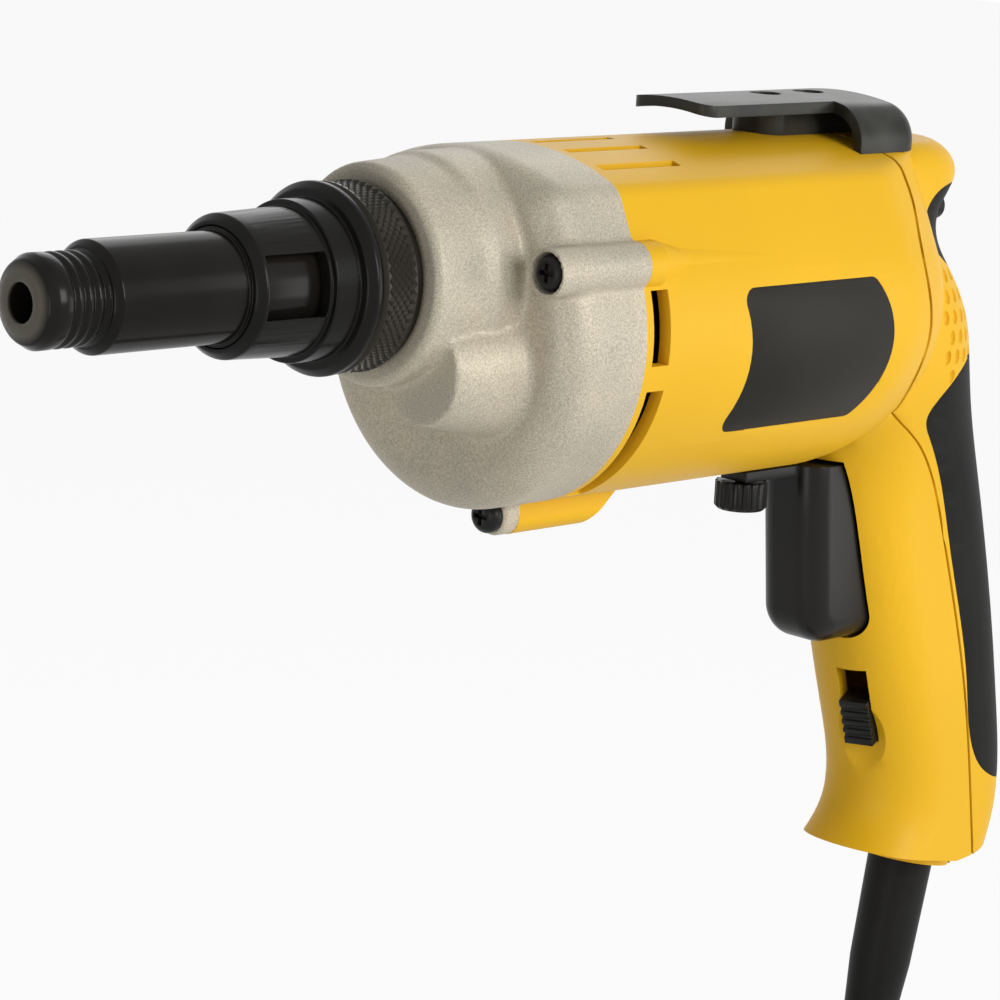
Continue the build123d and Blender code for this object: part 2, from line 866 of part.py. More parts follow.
def make_fan():
    hub = pipe(fan_x, fan_rear, shaft_radius + bearing_wall, shaft_radius, z=motor_z)
    disc = pipe(fan_rear + fan_plate, fan_rear, fan_radius, shaft_radius, z=motor_z)
    blade = block(fan_x, fan_rear + fan_plate / 2, shaft_radius + bearing_wall / 2, fan_radius,
                  -fan_blade_thickness / 2, fan_blade_thickness / 2)
    return hub + disc + around_motor(blade, fan_blades)


def make_field_core():
    core = pipe(core_x, core_rear, field_radius, armature_radius + air_gap, z=motor_z)
    return core - Pos(0, 0, motor_z) * field_bars(core_x + cut_past, core_rear - cut_past, 0.0)


def field_bars(front, rear, inset):
    """The four straight runs of the field coils, about the motor axis."""
    ring = pipe(front, rear, field_slot_outer - inset, field_slot_inner + inset)
    width = field_slot_angle - 2 * degrees(inset / field_slot_inner)
    bars = Part()
    for side in (90, -90):
        for edge in (-1, 1):
            turn = side + edge * (field_coil_half_angle - field_slot_angle / 2)
            bars += ring & (Rot(turn, 0, 0) * sector(front, rear, field_slot_outer, width))
    return bars


def make_field_coils():
    inset = press_clearance
    ends = Part()
    width = 2 * field_coil_half_angle - 2 * degrees(inset / field_slot_inner)
    for front, rear in ((coil_x, core_x), (core_rear, coil_rear)):
        ring = pipe(front, rear, field_slot_outer - inset, field_slot_inner + inset)
        for side in (90, -90):
            ends += ring & (Rot(side, 0, 0) * sector(front, rear, field_slot_outer, width))
    coils = ends + field_bars(coil_x, coil_rear, inset)
    return [Pos(0, 0, motor_z) * coil for coil in coils.solids()]


def make_brush_holder():
    """Brass box of the left brush, standing on the bulkhead."""
    inner_y = commutator_radius + holder_stand
    front = bulkhead_x + holder_wall + brush_width + holder_wall + 2 * running_clearance
    half = brush_height / 2 + running_clearance + holder_wall
    box = block(front, bulkhead_x, inner_y, inner_y + holder_length, motor_z - half, motor_z + half)
    inside = half - holder_wall
    hole = block(front - holder_wall, bulkhead_x + holder_wall, inner_y - cut_past,
                 inner_y + holder_length - holder_wall, motor_z - inside, motor_z + inside)
    return box - hole


def make_brush():
    inner_y = commutator_radius + brush_gap
    rear = bulkhead_x + holder_wall + running_clearance
    return block(rear + brush_width, rear, inner_y, inner_y + brush_length,
                 motor_z - brush_height / 2, motor_z + brush_height / 2)


# Motor housing and handle cover

def make_barrel():
    """Outside of the motor housing, straight at first and tapering into the rear column."""
    barrel = extrude(body_face(straight_length, body_radius), straight_length, dir=(1, 0, 0))
    sections = [body_face(straight_length + behind, radius, drop=drop) for behind, radius, drop in taper_stations]
    return barrel + loft(sections)


def make_column(inset):
    """Rear end and handle as one lofted column of round-ended levels, shrunk all round by the inset."""
    levels = []
    for level, front, rear, half_width in column_stations:
        if level <= top_height - inset:
            middle = (at(front) + at(rear)) / 2
            depth = rear - front - 2 * inset
            levels.append(Pos(middle, 0, level) * SlotOverall(depth, 2 * (half_width - inset)))
    return loft(levels)


def bottom_plane_cut(raise_by=0.0):
    """Everything below the underside of the handle, which rises to the front and, less, to the heel."""
    size = 4 * protector_length
    place = Pos(at(cord_exit_behind), 0, handle_bottom + raise_by)
    below = Pos(0, 0, -size / 2) * Box(size, size, size)
    return place * Rot(0, -handle_bottom_tilt, 0) * below + place * Rot(0, handle_heel_tilt, 0) * below


def side_lug():
    """Ridge behind a side screw, fading into the flank."""
    y, z = screw_lug_places()[0]
    straight = bar(joint_x, at(screw_lug_radius), screw_lug_radius, y, z)
    fade = Pos(at(2 * screw_lug_radius), y - screw_lug_radius / 4, z) * Rot(0, -90, 0)
    return straight + fade * Cone(screw_lug_radius, screw_lug_radius / 2, 2 * screw_lug_radius)


def bottom_lug():
    """Lug under the housing that takes the bottom case screw."""
    z = screw_lug_places()[2][1]
    top = motor_z - housing_bore
    bottom = z - bottom_lug_half_width
    lug = side_prism(
        ((0, bottom), (bottom_lug_flat, bottom), (bottom_lug_fade, top), (0, top)), bottom_lug_half_width
    )
    lower_edges = lug.edges().filter_by(Axis.X).sort_by(Axis.Z)[:2]
    return fillet(lower_edges, bottom_lug_half_width - face_gap)


def make_interior():
    """Room inside both shells."""
    room = bar(joint_x + cut_past, at(straight_length), housing_bore, z=motor_z)
    taper = taper_stations[-1][0]
    cone = Cone(housing_bore, rear_chamber_radius, taper)
    room += Pos(at(straight_length + taper / 2), 0, motor_z) * Rot(0, -90, 0) * cone
    return room + (make_column(handle_wall) - bottom_plane_cut(handle_wall))


def rear_region():
    """Everything behind the seam between the motor housing and the handle cover."""
    line = Spline(*[(at(behind), 0, height) for behind, height in (seam_ends[0],) + seam + (seam_ends[1],)])
    far = at(2 * seam_ends[1][0])
    top, bottom = seam_ends[0][1], seam_ends[1][1]
    rest = Polyline(
        (at(seam_ends[1][0]), 0, bottom), (far, 0, bottom), (far, 0, top), (at(seam_ends[0][0]), 0, top)
    )
    face = make_face([line, *rest.edges()])
    return extrude(face, body_radius + cut_past, dir=(0, 1, 0), both=True)


def skin_prism(outline):
    """Smooth outline in the side view that is open to the rear, closed there and drawn out to both sides."""
    points = [(at(behind), 0, height) for behind, height in outline]
    face = make_face([Spline(*points), Line(points[-1], points[0])])
    return extrude(face, body_radius, dir=(0, 1, 0), both=True)


def label_prism():
    """Outline of a label plate, drawn through the whole body."""
    middle = (label_top + label_bottom) / 2
    corners = [(at(label_front), 0, label_top), (at(label_rear), 0, label_top),
               (at(label_rear), 0, label_bottom), (at(label_front), 0, label_bottom)]
    edges = [
        Line(corners[0], corners[1]),
        ThreePointArc(corners[1], (at(label_rear + label_rear_bow), 0, middle), corners[2]),
        Line(corners[2], corners[3]),
        ThreePointArc(corners[3], (at(label_front + label_front_bow), 0, middle), corners[0]),
    ]
    prism = extrude(make_face(edges), body_radius + cut_past, dir=(0, 1, 0))
    return fillet(prism.edges().filter_by(Axis.Y), label_corner)


def make_label_plate():
    """Thin plate let into the left flank."""
    skin = extrude(body_face(straight_length, body_radius), straight_length, dir=(1, 0, 0))
    seat = extrude(body_face(straight_length, body_radius, label_thickness), straight_length, dir=(1, 0, 0))
    return (skin - seat) & label_prism()


def housing_vents():
    """Air slots: along the top, upright on each flank and curved along the case below."""
    vents = Part()
    for number in range(top_vent_count):
        y = (number - (top_vent_count - 1) / 2) * top_vent_pitch
        half = top_vent_width / 2
        vents += block(at(top_vent_front), at(top_vent_rear), y - half, y + half, 0, top_height + cut_past)
    inner = housing_bore - cut_past
    upright = block(at(side_vent_front), at(side_vent_rear), inner, body_radius + cut_past,
                    side_vent_bottom, side_vent_top)
    outer = body_radius + cut_past
    ring = pipe(at(side_vent_front), at(side_vent_rear), outer, inner)
    span = sector(at(side_vent_front), at(side_vent_rear), outer, round_vent_end - round_vent_start)
    middle = (round_vent_start + round_vent_end) / 2
    flank = upright + Pos(0, 0, motor_z) * (ring & (Rot(-middle, 0, 0) * span))
    return vents + flank + mirrored(flank)


def trigger_opening():
    """Room for the trigger and its travel, with the foot rounded as the trigger is."""
    half = trigger_half_width + hand_clearance
    front = at(trigger_front_top)
    rear = at(trigger_foot_rear + trigger_travel + hand_clearance)
    room = block(front, rear, -half, half, trigger_bottom - hand_clearance, motor_z - body_radius)
    foot_edges = room.edges().filter_by(Axis.X).sort_by(Axis.Z)[:2]
    return fillet(foot_edges, trigger_edge_round + hand_clearance)


def slider_frame():
    """Place of the reverse slider: on the skin at its middle, with X outwards and Z along the handle."""
    height = slider_top - slider_length / 2
    inward = sqrt(handle_half_width**2 - slider_left**2)
    front = handle_front_at(height) - handle_half_width + inward
    turn = degrees(atan2(slider_left, inward))
    return Location((front, slider_left, height), (0, handle_front_rake, 0)) * Rot(0, 0, turn)


def handle_front_at(level):
    """X of the handle's front line at a level, from the levels on either side."""
    for upper, lower in zip(column_stations, column_stations[1:]):
        if upper[0] >= level >= lower[0]:
            share = (upper[0] - level) / (upper[0] - lower[0])
            return at(upper[1] + share * (lower[1] - upper[1]))


def slider_opening():
    """Slot for the slider's travel, with a round dish for the thumb about its lower end."""
    half = slider_half_width + face_gap
    length = slider_length + slider_travel + 2 * face_gap
    slot = Pos(0, 0, slider_travel / 2) * Box(4 * slider_depth, 2 * half, length)
    dish_z = slider_dish_rise - slider_length / 2
    dish = Pos(slider_dish_radius - slider_dish_depth, 0, dish_z) * Sphere(slider_dish_radius)
    return slider_frame() * (slot + dish)


def screw_posts(place, front, rear):
    """Pair of posts along X at a screw place, one on each side."""
    y, z = place
    return bar(front, rear, post_radius, y, z) + bar(front, rear, post_radius, -y, z)


def screw_holes(place, front, rear, radius):
    y, z = place
    return bar(front, rear, radius, y, z) + bar(front, rear, radius, -y, z)


def hook_screw_holes():
    holes = Part()
    for behind in hook_screw_behind:
        holes += Pos(at(behind), 0, hook_top - hook_screw_length / 2) * Cylinder(
            hook_screw_radius + running_clearance, hook_screw_length
        )
    return holes


upper_seat_x = at(upper_seat_behind)
lower_seat_x = at(lower_seat_behind)
upper_screw_end = upper_seat_x + upper_screw_length
lower_screw_end = lower_seat_x + lower_screw_length


def cord_frame():
    """Place where the cord leaves the handle, with -Z pointing along it."""
    return Location((at(cord_exit_behind), 0, handle_bottom), (0, -cord_tilt, 0))


def along_cord(top, bottom, top_radius, bottom_radius):
    """Round piece on the cord's axis between two distances from the exit, downwards negative."""
    middle = Pos(0, 0, (top + bottom) / 2)
    if top_radius == bottom_radius:
        return cord_frame() * middle * Cylinder(top_radius, top - bottom)
    return cord_frame() * middle * Cone(bottom_radius, top_radius, top - bottom)


def exit_room():
    """Seat of the cord protector in the underside of the handle."""
    hole = protector_top_radius + press_clearance
    wide = protector_flange_radius + press_clearance
    flange_bottom = handle_wall - press_clearance
    seat = along_cord(handle_wall + 2 * cut_past, -exit_lip_height - cut_past, hole, hole)
    return seat + along_cord(flange_bottom + protector_flange + cut_past, flange_bottom, wide, wide)


def make_shells():
    """Motor housing and handle cover, cut from one hollow body along the seam."""
    barrel = make_barrel()
    outside = barrel + make_column(0.0)
    outside -= bottom_plane_cut()
    outside += along_cord(handle_wall, -exit_lip_height, exit_lip_radius, exit_lip_radius)
    outside += side_lug() + mirrored(side_lug()) + bottom_lug()
    front_end = bar(joint_x + 2 * body_radius, joint_x, 2 * body_radius)
    shell = outside - make_interior() - front_end - exit_room()
    room_behind = rear_region()

    housing = shell - room_behind
    bulkhead = bar(bulkhead_x, bulkhead_rear, housing_bore, z=motor_z) & barrel
    bulkhead += bar(bulkhead_rear, shaft_end, bearing_radius + bearing_wall, z=motor_z)
    bulkhead -= bar(bulkhead_rear, shaft_end - cut_past, bearing_radius + press_clearance, z=motor_z)
    bulkhead -= bar(bulkhead_x + cut_past, bulkhead_rear - cut_past, shaft_radius + face_gap, z=motor_z)
    window = bar(bulkhead_x + cut_past, bulkhead_rear - cut_past, bulkhead_window_radius,
                 y=bulkhead_window_ring)
    for turn in bulkhead_window_turns:
        bulkhead -= Pos(0, 0, motor_z) * Rot(turn, 0, 0) * window
    housing += bulkhead
    clamp_place = (clamp_across, clamp_z)
    posts = screw_posts(upper_screw, bulkhead_rear, upper_seat_x)
    posts += screw_posts(lower_screw, handle_front_at(lower_screw[1]), lower_seat_x)
    housing += (posts & outside) - room_behind
    housing += screw_posts(clamp_place, handle_front_at(clamp_z), clamp_front_x) & outside
    housing -= screw_holes(upper_screw, upper_screw_end + face_gap, upper_seat_x, cover_screw_radius)
    housing -= screw_holes(lower_screw, lower_screw_end + face_gap, lower_seat_x, cover_screw_radius)
    clamp_end = clamp_rear_x + clamp_screw_length + face_gap
    housing -= screw_holes(clamp_place, clamp_end, clamp_rear_x, clamp_screw_radius)
    for y, z in screw_lug_places():
        end = case_screw_end(y) - face_gap
        housing -= bar(joint_x + cut_past, end, case_screw_radius + running_clearance, y, z)
    label = label_prism()
    deep = extrude(body_face(straight_length, body_radius, label_thickness), straight_length, dir=(1, 0, 0))
    label_seat = label - deep
    housing -= label_seat + mirrored(label_seat)
    housing -= housing_vents() + trigger_opening() + slider_opening() + hook_screw_holes()

    cover = shell & room_behind
    posts = screw_posts(upper_screw, bulkhead_rear, upper_seat_x - post_radius)
    posts += screw_posts(lower_screw, handle_front_at(lower_screw[1]), lower_seat_x - post_radius)
    cover += posts & outside & room_behind
    for place, seat, length in ((upper_screw, upper_seat_x, upper_screw_length),
                                (lower_screw, lower_seat_x, lower_screw_length)):
        cover -= screw_holes(place, seat + length, seat, cover_screw_radius + running_clearance)
        cover -= screw_holes(place, seat, seat - body_radius, cover_screw_head_radius + face_gap)
    rubber_seat = make_column(rubber_thickness)
    skins = []
    for outline in (grip_rubber_outline, web_rubber_outline):
        prism = skin_prism(outline)
        skins.append(((cover & prism) - rubber_seat))
        cover -= prism - rubber_seat
    return housing, cover, skins


# Trigger group

def make_trigger():
    knob_axis = at(knob_behind)
    profile = make_face(Polyline(
        (at(trigger_front_top), 0, trigger_top),
        (at(trigger_front_middle), 0, trigger_top - knob_thickness * 2),
        (at(trigger_front_bottom), 0, trigger_bottom),
        (at(trigger_foot_rear), 0, trigger_bottom),
        (at(trigger_foot_rear), 0, trigger_foot_top),
        (at(trigger_rear), 0, trigger_foot_top),
        (at(trigger_rear), 0, trigger_top),
        close=True,
    ))
    body = extrude(profile, trigger_half_width, dir=(0, 1, 0), both=True)
    front_foot = body.edges().filter_by(Axis.Y).sort_by(Axis.Z)[:2].sort_by(Axis.X)[-1]
    body = fillet(front_foot, trigger_foot_round)
    sides = body.faces().sort_by(Axis.Y)
    rims = [edge for face in (sides[0], sides[-1]) for edge in face.edges()]
    in_front = [edge for edge in rims if edge.center().X > at(trigger_rear) + face_gap]
    rounded = [edge for edge in in_front if edge.center().Z < trigger_top - face_gap]
    rounded += [edge for edge in rims if edge.center().Z < trigger_bottom + face_gap and edge not in rounded]
    body = fillet(rounded, trigger_edge_round)
    knob_room = Pos(knob_axis, 0, trigger_top - arm_thickness - knob_thickness) * Cylinder(
        knob_radius + hand_clearance, 2 * knob_thickness
    )
    arm = block(knob_axis + knob_radius / 2, at(trigger_front_bottom), -arm_half_width, arm_half_width,
                trigger_top - arm_thickness, trigger_top)
    body = body - knob_room + arm
    pin_length = knob_thickness + face_gap - 2 * knob_flute_radius
    pin_top = trigger_top - arm_thickness
    body += Pos(knob_axis, 0, pin_top - pin_length / 2) * Cylinder(knob_pin_radius, pin_length)
    return body + bar(at(trigger_rear), at(trigger_rear + stem_length), stem_radius, z=stem_height)


def make_speed_knob():
    top = trigger_top - arm_thickness - face_gap
    knob = Pos(0, 0, top - knob_thickness / 2) * Cylinder(knob_radius, knob_thickness)
    knob = chamfer(knob.faces().sort_by(Axis.Z)[0].edges(), knob_flute_radius)
    flute = Cylinder(knob_flute_radius, knob_thickness + cut_past)
    flute = Pos(knob_radius + knob_flute_radius / 4, 0, top - knob_thickness / 2) * flute
    for number in range(knob_flutes):
        knob -= Rot(0, 0, number * 360 / knob_flutes) * flute
    bore = Cylinder(knob_pin_radius + running_clearance, knob_thickness)
    knob -= Pos(0, 0, top - knob_thickness / 2 + knob_flute_radius) * bore
    return Pos(at(knob_behind), 0, 0) * knob


def make_reverse_slider():
    """Ribbed thumb piece with a tongue that runs in the slot."""
    body = Box(slider_stand + slider_depth, 2 * slider_half_width, slider_length)
    body = Pos((slider_stand - slider_depth) / 2, 0, 0) * body
    for number in range(slider_ribs):
        height = (number - (slider_ribs - 1) / 2) * slider_length / (slider_ribs + 1)
        groove = Pos(slider_stand, 0, height) * Rot(90, 0, 0)
        body -= groove * Cylinder(slider_stand / 2, 2 * slider_half_width + cut_past)
    return slider_frame() * body


def make_switch():
    half = handle_half_width - handle_wall - face_gap
    body = block(at(switch_front), at(switch_front + switch_length), -half, half, switch_bottom, switch_top)
    depth = stem_length + trigger_travel
    hole = bar(at(trigger_rear), at(trigger_rear + depth), stem_radius + running_clearance, z=stem_height)
    return (body & make_column(handle_wall + face_gap)) - hole


# Belt hook

def hook_arch(front, inset):
    """Arched bar of the belt hook's outline, shrunk by the inset, from a station to its rounded rear end."""
    side = hook_foot_half_width - inset
    edge = hook_top - hook_crown_drop - inset
    low = crown_at(hook_foot_half_width) - 2 * hook_thickness
    face = make_face([
        Line((side, low), (side, edge)),
        ThreePointArc((side, edge), (0, hook_top - inset), (-side, edge)),
        Line((-side, edge), (-side, low)),
        Line((-side, low), (side, low)),
    ])
    face = fillet(face.vertices().sort_by(Axis.Y)[-2:], hook_shoulder_round - inset)
    rear = at(hook_arch_rear) + inset
    arch = extrude(Plane((rear, 0, 0), x_dir=(0, 1, 0), z_dir=(1, 0, 0)) * face, front - rear, dir=(1, 0, 0))
    rear_edges = arch.faces().sort_by(Axis.X)[0].edges().sort_by(Axis.Z)[1:]
    return fillet(rear_edges, hook_rear_round - inset)


def make_belt_hook():
    """Saddle that stands across the rear of the top, with a tongue reaching forward over the housing."""
    front = at(hook_front)
    arch_front = at(hook_arch_front)
    length = front - arch_front + 2 * hook_corner_round
    tongue = extrude(RectangleRounded(length, 2 * hook_half_width, hook_corner_round), hook_top)
    tongue = Pos(front - length / 2, 0, 0) * tongue
    saddle = block(arch_front, at(hook_arch_rear), -body_radius, body_radius, 0, hook_top)
    strap = (hook_arch(front, 0.0) - hook_arch(front + cut_past, hook_thickness)) & (tongue + saddle)
    pad = block(at(hook_pad_front), at(hook_arch_rear) + hook_thickness, -hook_pad_half_width,
                hook_pad_half_width, 0, hook_top - hook_thickness / 2)
    pad = fillet(pad.edges().filter_by(Axis.Z).sort_by(Axis.X)[-2:], hook_pad_round)
    crown = bar(front + cut_past, at(hook_arch_rear) - cut_past, crown_radius + running_clearance,
                z=top_height - crown_radius)
    hook = strap + pad - crown
    for behind in hook_screw_behind:
        head = Pos(at(behind), 0, hook_top) * Cylinder(hook_screw_head_radius + face_gap, 2 * hook_thickness)
        hook -= head
    return hook - hook_screw_holes()


def crown_at(y):
    """Height of the crowned top at a distance from the middle."""
    return top_height - crown_radius + sqrt(crown_radius**2 - y**2)


def make_hook_screws():
    screws = []
    for behind in hook_screw_behind:
        seat = hook_top - hook_thickness
        head = Cylinder(hook_screw_head_radius, hook_thickness * 2 / 3)
        head = Pos(at(behind), 0, seat + hook_thickness / 3) * head
        length = hook_screw_length - hook_thickness - face_gap
        shank = Pos(at(behind), 0, seat - length / 2) * Cylinder(hook_screw_radius, length)
        screws.append(head + shank)
    return screws


def make_cover_screws():
    screws = []
    for (y, z), seat, length in ((upper_screw, upper_seat_x, upper_screw_length),
                                 (lower_screw, lower_seat_x, lower_screw_length)):
        for side in (y, -y):
            head = bar(seat, seat - cover_screw_head_height, cover_screw_head_radius, side, z)
            screws.append(head + bar(seat + length, seat, cover_screw_radius - press_clearance, side, z))
    return screws


# Cord

clamp_z = handle_bottom + clamp_up_cord
clamp_lean = tan(radians(cord_tilt)) * clamp_up_cord
clamp_front_x = at(cord_exit_behind) - clamp_lean + cord_diameter / 4
clamp_rear_x = clamp_front_x - clamp_depth - cord_diameter / 2


def make_cord_clamp():
    half = clamp_height / 2
    strip = block(clamp_front_x, clamp_rear_x, -clamp_width / 2, clamp_width / 2,
                 clamp_z - half, clamp_z + half)
    strip &= make_column(handle_wall + face_gap)
    strip -= along_cord(2 * cord_inside, -cut_past, cord_diameter / 2 + press_clearance,
                       cord_diameter / 2 + press_clearance)
    return strip - screw_holes((clamp_across, clamp_z), clamp_front_x + cut_past, clamp_rear_x - cut_past,
                              clamp_screw_radius + running_clearance)


def make_clamp_screws():
    screws = []
    for y in (clamp_across, -clamp_across):
        head = bar(clamp_rear_x, clamp_rear_x - clamp_screw_radius, clamp_screw_head_radius, y, clamp_z)
        end = clamp_rear_x + clamp_screw_length
        screws.append(head + bar(end, clamp_rear_x, clamp_screw_radius - press_clearance, y, clamp_z))
    return screws


def make_cord_protector():
    top, middle, end = protector_top_radius, protector_middle_radius, protector_end_radius
    sleeve = along_cord(handle_wall, -exit_lip_height, top, top)
    sleeve += along_cord(-exit_lip_height, -protector_length / 2, top, middle)
    sleeve += along_cord(-protector_length / 2, -protector_length, middle, end)
    flange = protector_flange_radius
    sleeve += along_cord(handle_wall + protector_flange, handle_wall, flange, flange)
    bore = cord_diameter / 2 + press_clearance
    return sleeve - along_cord(protector_length, -protector_length - cut_past, bore, bore)


def make_cord_inner_end():
    return along_cord(cord_inside, -protector_length, cord_diameter / 2, cord_diameter / 2)


coil_pitch = cord_diameter + coil_gap
coil_turns = coil_layers * turns_per_layer
reversals = [turns_per_layer * number for number in range(1, coil_layers)]


def coil_wave(turn):
    """Swing of the winding in pitches: inwards through one layer and out again through the next."""
    layer = min(int(turn // turns_per_layer), coil_layers - 1)
    swing = turns_per_layer / 2 - (turn - layer * turns_per_layer)
    if layer % 2:
        swing = -swing
    nearest = min(abs(turn - reversal) for reversal in reversals)
    eased = max(reverse_share - nearest, 0) ** 2 / (2 * reverse_share)
    return swing - copysign(eased, swing)


def coil_layer(turn):
    """Layer of the winding, climbing during the half turn in which it reverses."""
    layer = 0.0
    for reversal in reversals:
        share = min(max((turn - reversal) / (2 * reverse_share) + 0.5, 0.0), 1.0)
        layer += 3 * share**2 - 2 * share**3
    return layer


def coil_point(turn):
    """Point of the winding relative to the coil's centre, with the layers along Y."""
    radius = coil_mean_radius + coil_pitch * coil_wave(turn)
    angle = radians(coil_start_angle + 360 * turn)
    return Vector(radius * cos(angle), coil_pitch * coil_layer(turn), radius * sin(angle))


def coil_tangent(turn):
    small = 0.001
    before, after = max(turn - small, 0), min(turn + small, coil_turns)
    return (coil_point(after) - coil_point(before)).normalized()


def biarc(start, start_tangent, end, end_tangent):
    """Two tangent arcs that join two points with given directions."""
    chord = end - start
    total = start_tangent + end_tangent
    spread = 2 * (1 - start_tangent.dot(end_tangent))
    along = chord.dot(total)
    reach = (-along + sqrt(along**2 + spread * chord.dot(chord))) / spread
    first_corner = start + start_tangent * reach
    second_corner = end - end_tangent * reach
    middle = (first_corner + second_corner) * 0.5
    joint_tangent = (second_corner - first_corner).normalized()
    return [TangentArc(start, middle, tangent=start_tangent), TangentArc(middle, end, tangent=joint_tangent)]


cord_exit = cord_frame().position
cord_direction = Vector(sin(radians(cord_tilt)), 0, -cos(radians(cord_tilt)))
protector_end = cord_exit + cord_direction * protector_length
coil_in_direction = coil_tangent(0.0)
route_bend = protector_end + cord_direction * free_run
route_end = route_bend + coil_in_direction * free_run
coil_centre = route_end + coil_in_direction * cord_diameter - coil_point(0.0)
coil_out_direction = coil_tangent(coil_turns)
coil_end = coil_centre + coil_point(coil_turns) + coil_out_direction * coil_tail


def make_cord_stretch():
    turn = cord_direction.get_angle(coil_in_direction)
    radius = 0.45 * free_run / tan(radians(turn / 2))
    print(f"cord stretch: turn {turn:.1f} degrees, radius {radius:.1f}")
    path = FilletPolyline(protector_end, route_bend, route_end, radius=[radius])
    section = Plane(protector_end, z_dir=cord_direction) * Circle(cord_diameter / 2)
    tube = sweep(section, path=path)
    expected = pi * cord_diameter**2 / 4 * path.length
    print(f"cord stretch: volume {tube.volume:.0f}, section times length {expected:.0f}")
    return tube


def make_cord_coil():
    steps = int(coil_turns * coil_steps_per_turn)
    turns = [number / coil_steps_per_turn for number in range(steps + 1)]
    lead_in = Line(route_end, coil_centre + coil_point(0.0))
    lead_out = Line(coil_centre + coil_point(coil_turns), coil_end)
    edges = [lead_in]
    for start, end in zip(turns, turns[1:]):
        edges += biarc(coil_centre + coil_point(start), coil_tangent(start),
                       coil_centre + coil_point(end), coil_tangent(end))
    edges.append(lead_out)
    path = Wire(edges)
    section = Plane(route_end, z_dir=coil_in_direction) * Circle(cord_diameter / 2)
    tube = sweep(section, path=path)
    print(f"cord coil: length {path.length:.0f}, volume {tube.volume:.0f}, "
          f"section times length {pi * cord_diameter**2 / 4 * path.length:.0f}")
    print(f"cord coil: least gap to itself {coil_least_gap():.2f}")
    return tube


def coil_least_gap():
    """Smallest distance between turns, less the cord's diameter."""
    per_turn = 72
    count = int(coil_turns * per_turn)
    points = [coil_point(number / per_turn) for number in range(count + 1)]
    least = min(
        (points[first] - points[second]).length
        for first in range(count + 1)
        for second in range(first + per_turn // 2, count + 1)
    )
    return least - cord_diameter


def make_cord_tie():
    """Strap round the whole bundle of turns."""
    radial = turns_per_layer * coil_pitch + cord_diameter + 2 * tie_slack
    across = (coil_layers - 1) * coil_pitch + cord_diameter + 2 * tie_slack
    outer = Box(radial + 2 * tie_thickness, across + 2 * tie_thickness, tie_width)
    strap = fillet(outer.edges().filter_by(Axis.Z), cord_diameter / 2)
    strap -= Box(radial, across, tie_width + cut_past)
    angle = radians(tie_angle)
    half_stack = (coil_layers - 1) * coil_pitch / 2
    middle = Vector(coil_mean_radius * cos(angle), half_stack, coil_mean_radius * sin(angle))
    return Location(coil_centre + middle, (0, -tie_angle, 0)) * strap


def plug_frame():
    """Place of the plug: its neck on the cord's end, with -Z pointing along the cord."""
    lean = degrees(atan2(coil_out_direction.X, -coil_out_direction.Z))
    return Location(coil_end, (0, -lean, 0))


def make_plug_body():
    grip_section = Pos(0, 0, -plug_length / 2) * RectangleRounded(plug_width, plug_depth, plug_depth / 3)
    grip = extrude(grip_section, plug_length / 2, dir=(0, 0, -1))
    grip = fillet(grip.faces().sort_by(Axis.Z)[0].edges(), plug_depth / 10)
    neck = Pos(0, 0, -plug_length / 4) * Cone(plug_depth * 0.46, plug_neck_radius, plug_length / 2)
    return plug_frame() * (grip + neck)


def make_plug_blades():
    blades = []
    blade = Box(blade_thickness, blade_width, blade_length)
    for side in (-1, 1):
        place = Pos(side * blade_spacing / 2, 0, -plug_length - blade_length / 2)
        blades.append(plug_frame() * place * blade)
    return blades


# Write every node

def write_nose():
    write("nosepiece", make_nosepiece())
    write("adjusting_collar", make_adjusting_collar())
    write("lock_ring", make_lock_ring())
    write("bit_holder", make_bit_holder())
    write("bit_ring", make_bit_ring())
    write("spindle", make_spindle())
    front_bush_rear = snout_rear_x + face_gap
    write("spindle_front_bush", pipe(snout_x - face_gap, front_bush_rear, bush_radius, bush_bore))
    write("clutch_spring", make_clutch_spring())


def write_gears():
    write("drive_gear", make_drive_gear())
    write("spindle_rear_bush", pipe(joint_x, plate_rear, drive_bush_radius, drive_bush_bore))
    write("layshaft", make_layshaft())
    write("intermediate_gear", make_intermediate_gear())
    lay = {"y": layshaft_y, "z": layshaft_z}
    write("layshaft_front_bush",
          pipe(layshaft_front_x, layshaft_bush_rear, layshaft_front_radius, layshaft_bore, **lay))
    write("layshaft_rear_bush", pipe(joint_x, plate_rear, layshaft_rear_radius, layshaft_bore, **lay))
    write("gear_case", make_gear_case())
    write("case_screws", *make_case_screws())


def write_motor():
    write("bearing_plate", make_bearing_plate())
    write("armature_shaft", make_armature_shaft())
    write("armature_core", make_armature_core())
    write("armature_winding", make_armature_winding())
    write("commutator", make_commutator())
    write("cooling_fan", make_fan())
    write("front_bearing", pipe(front_bearing_x, front_bearing_rear, bearing_radius, shaft_radius, z=motor_z))
    write("rear_bearing", pipe(rear_bearing_x, rear_bearing_rear, bearing_radius, shaft_radius, z=motor_z))
    write("fan_baffle", pipe(baffle_x, baffle_rear, field_radius, baffle_hole_radius, z=motor_z))
    write("field_core", make_field_core())
    write("field_coils", *make_field_coils())
    write("brush_holder_left", make_brush_holder())
    write("brush_holder_right", mirrored(make_brush_holder()))
    write("brush_left", make_brush())
    write("brush_right", mirrored(make_brush()))


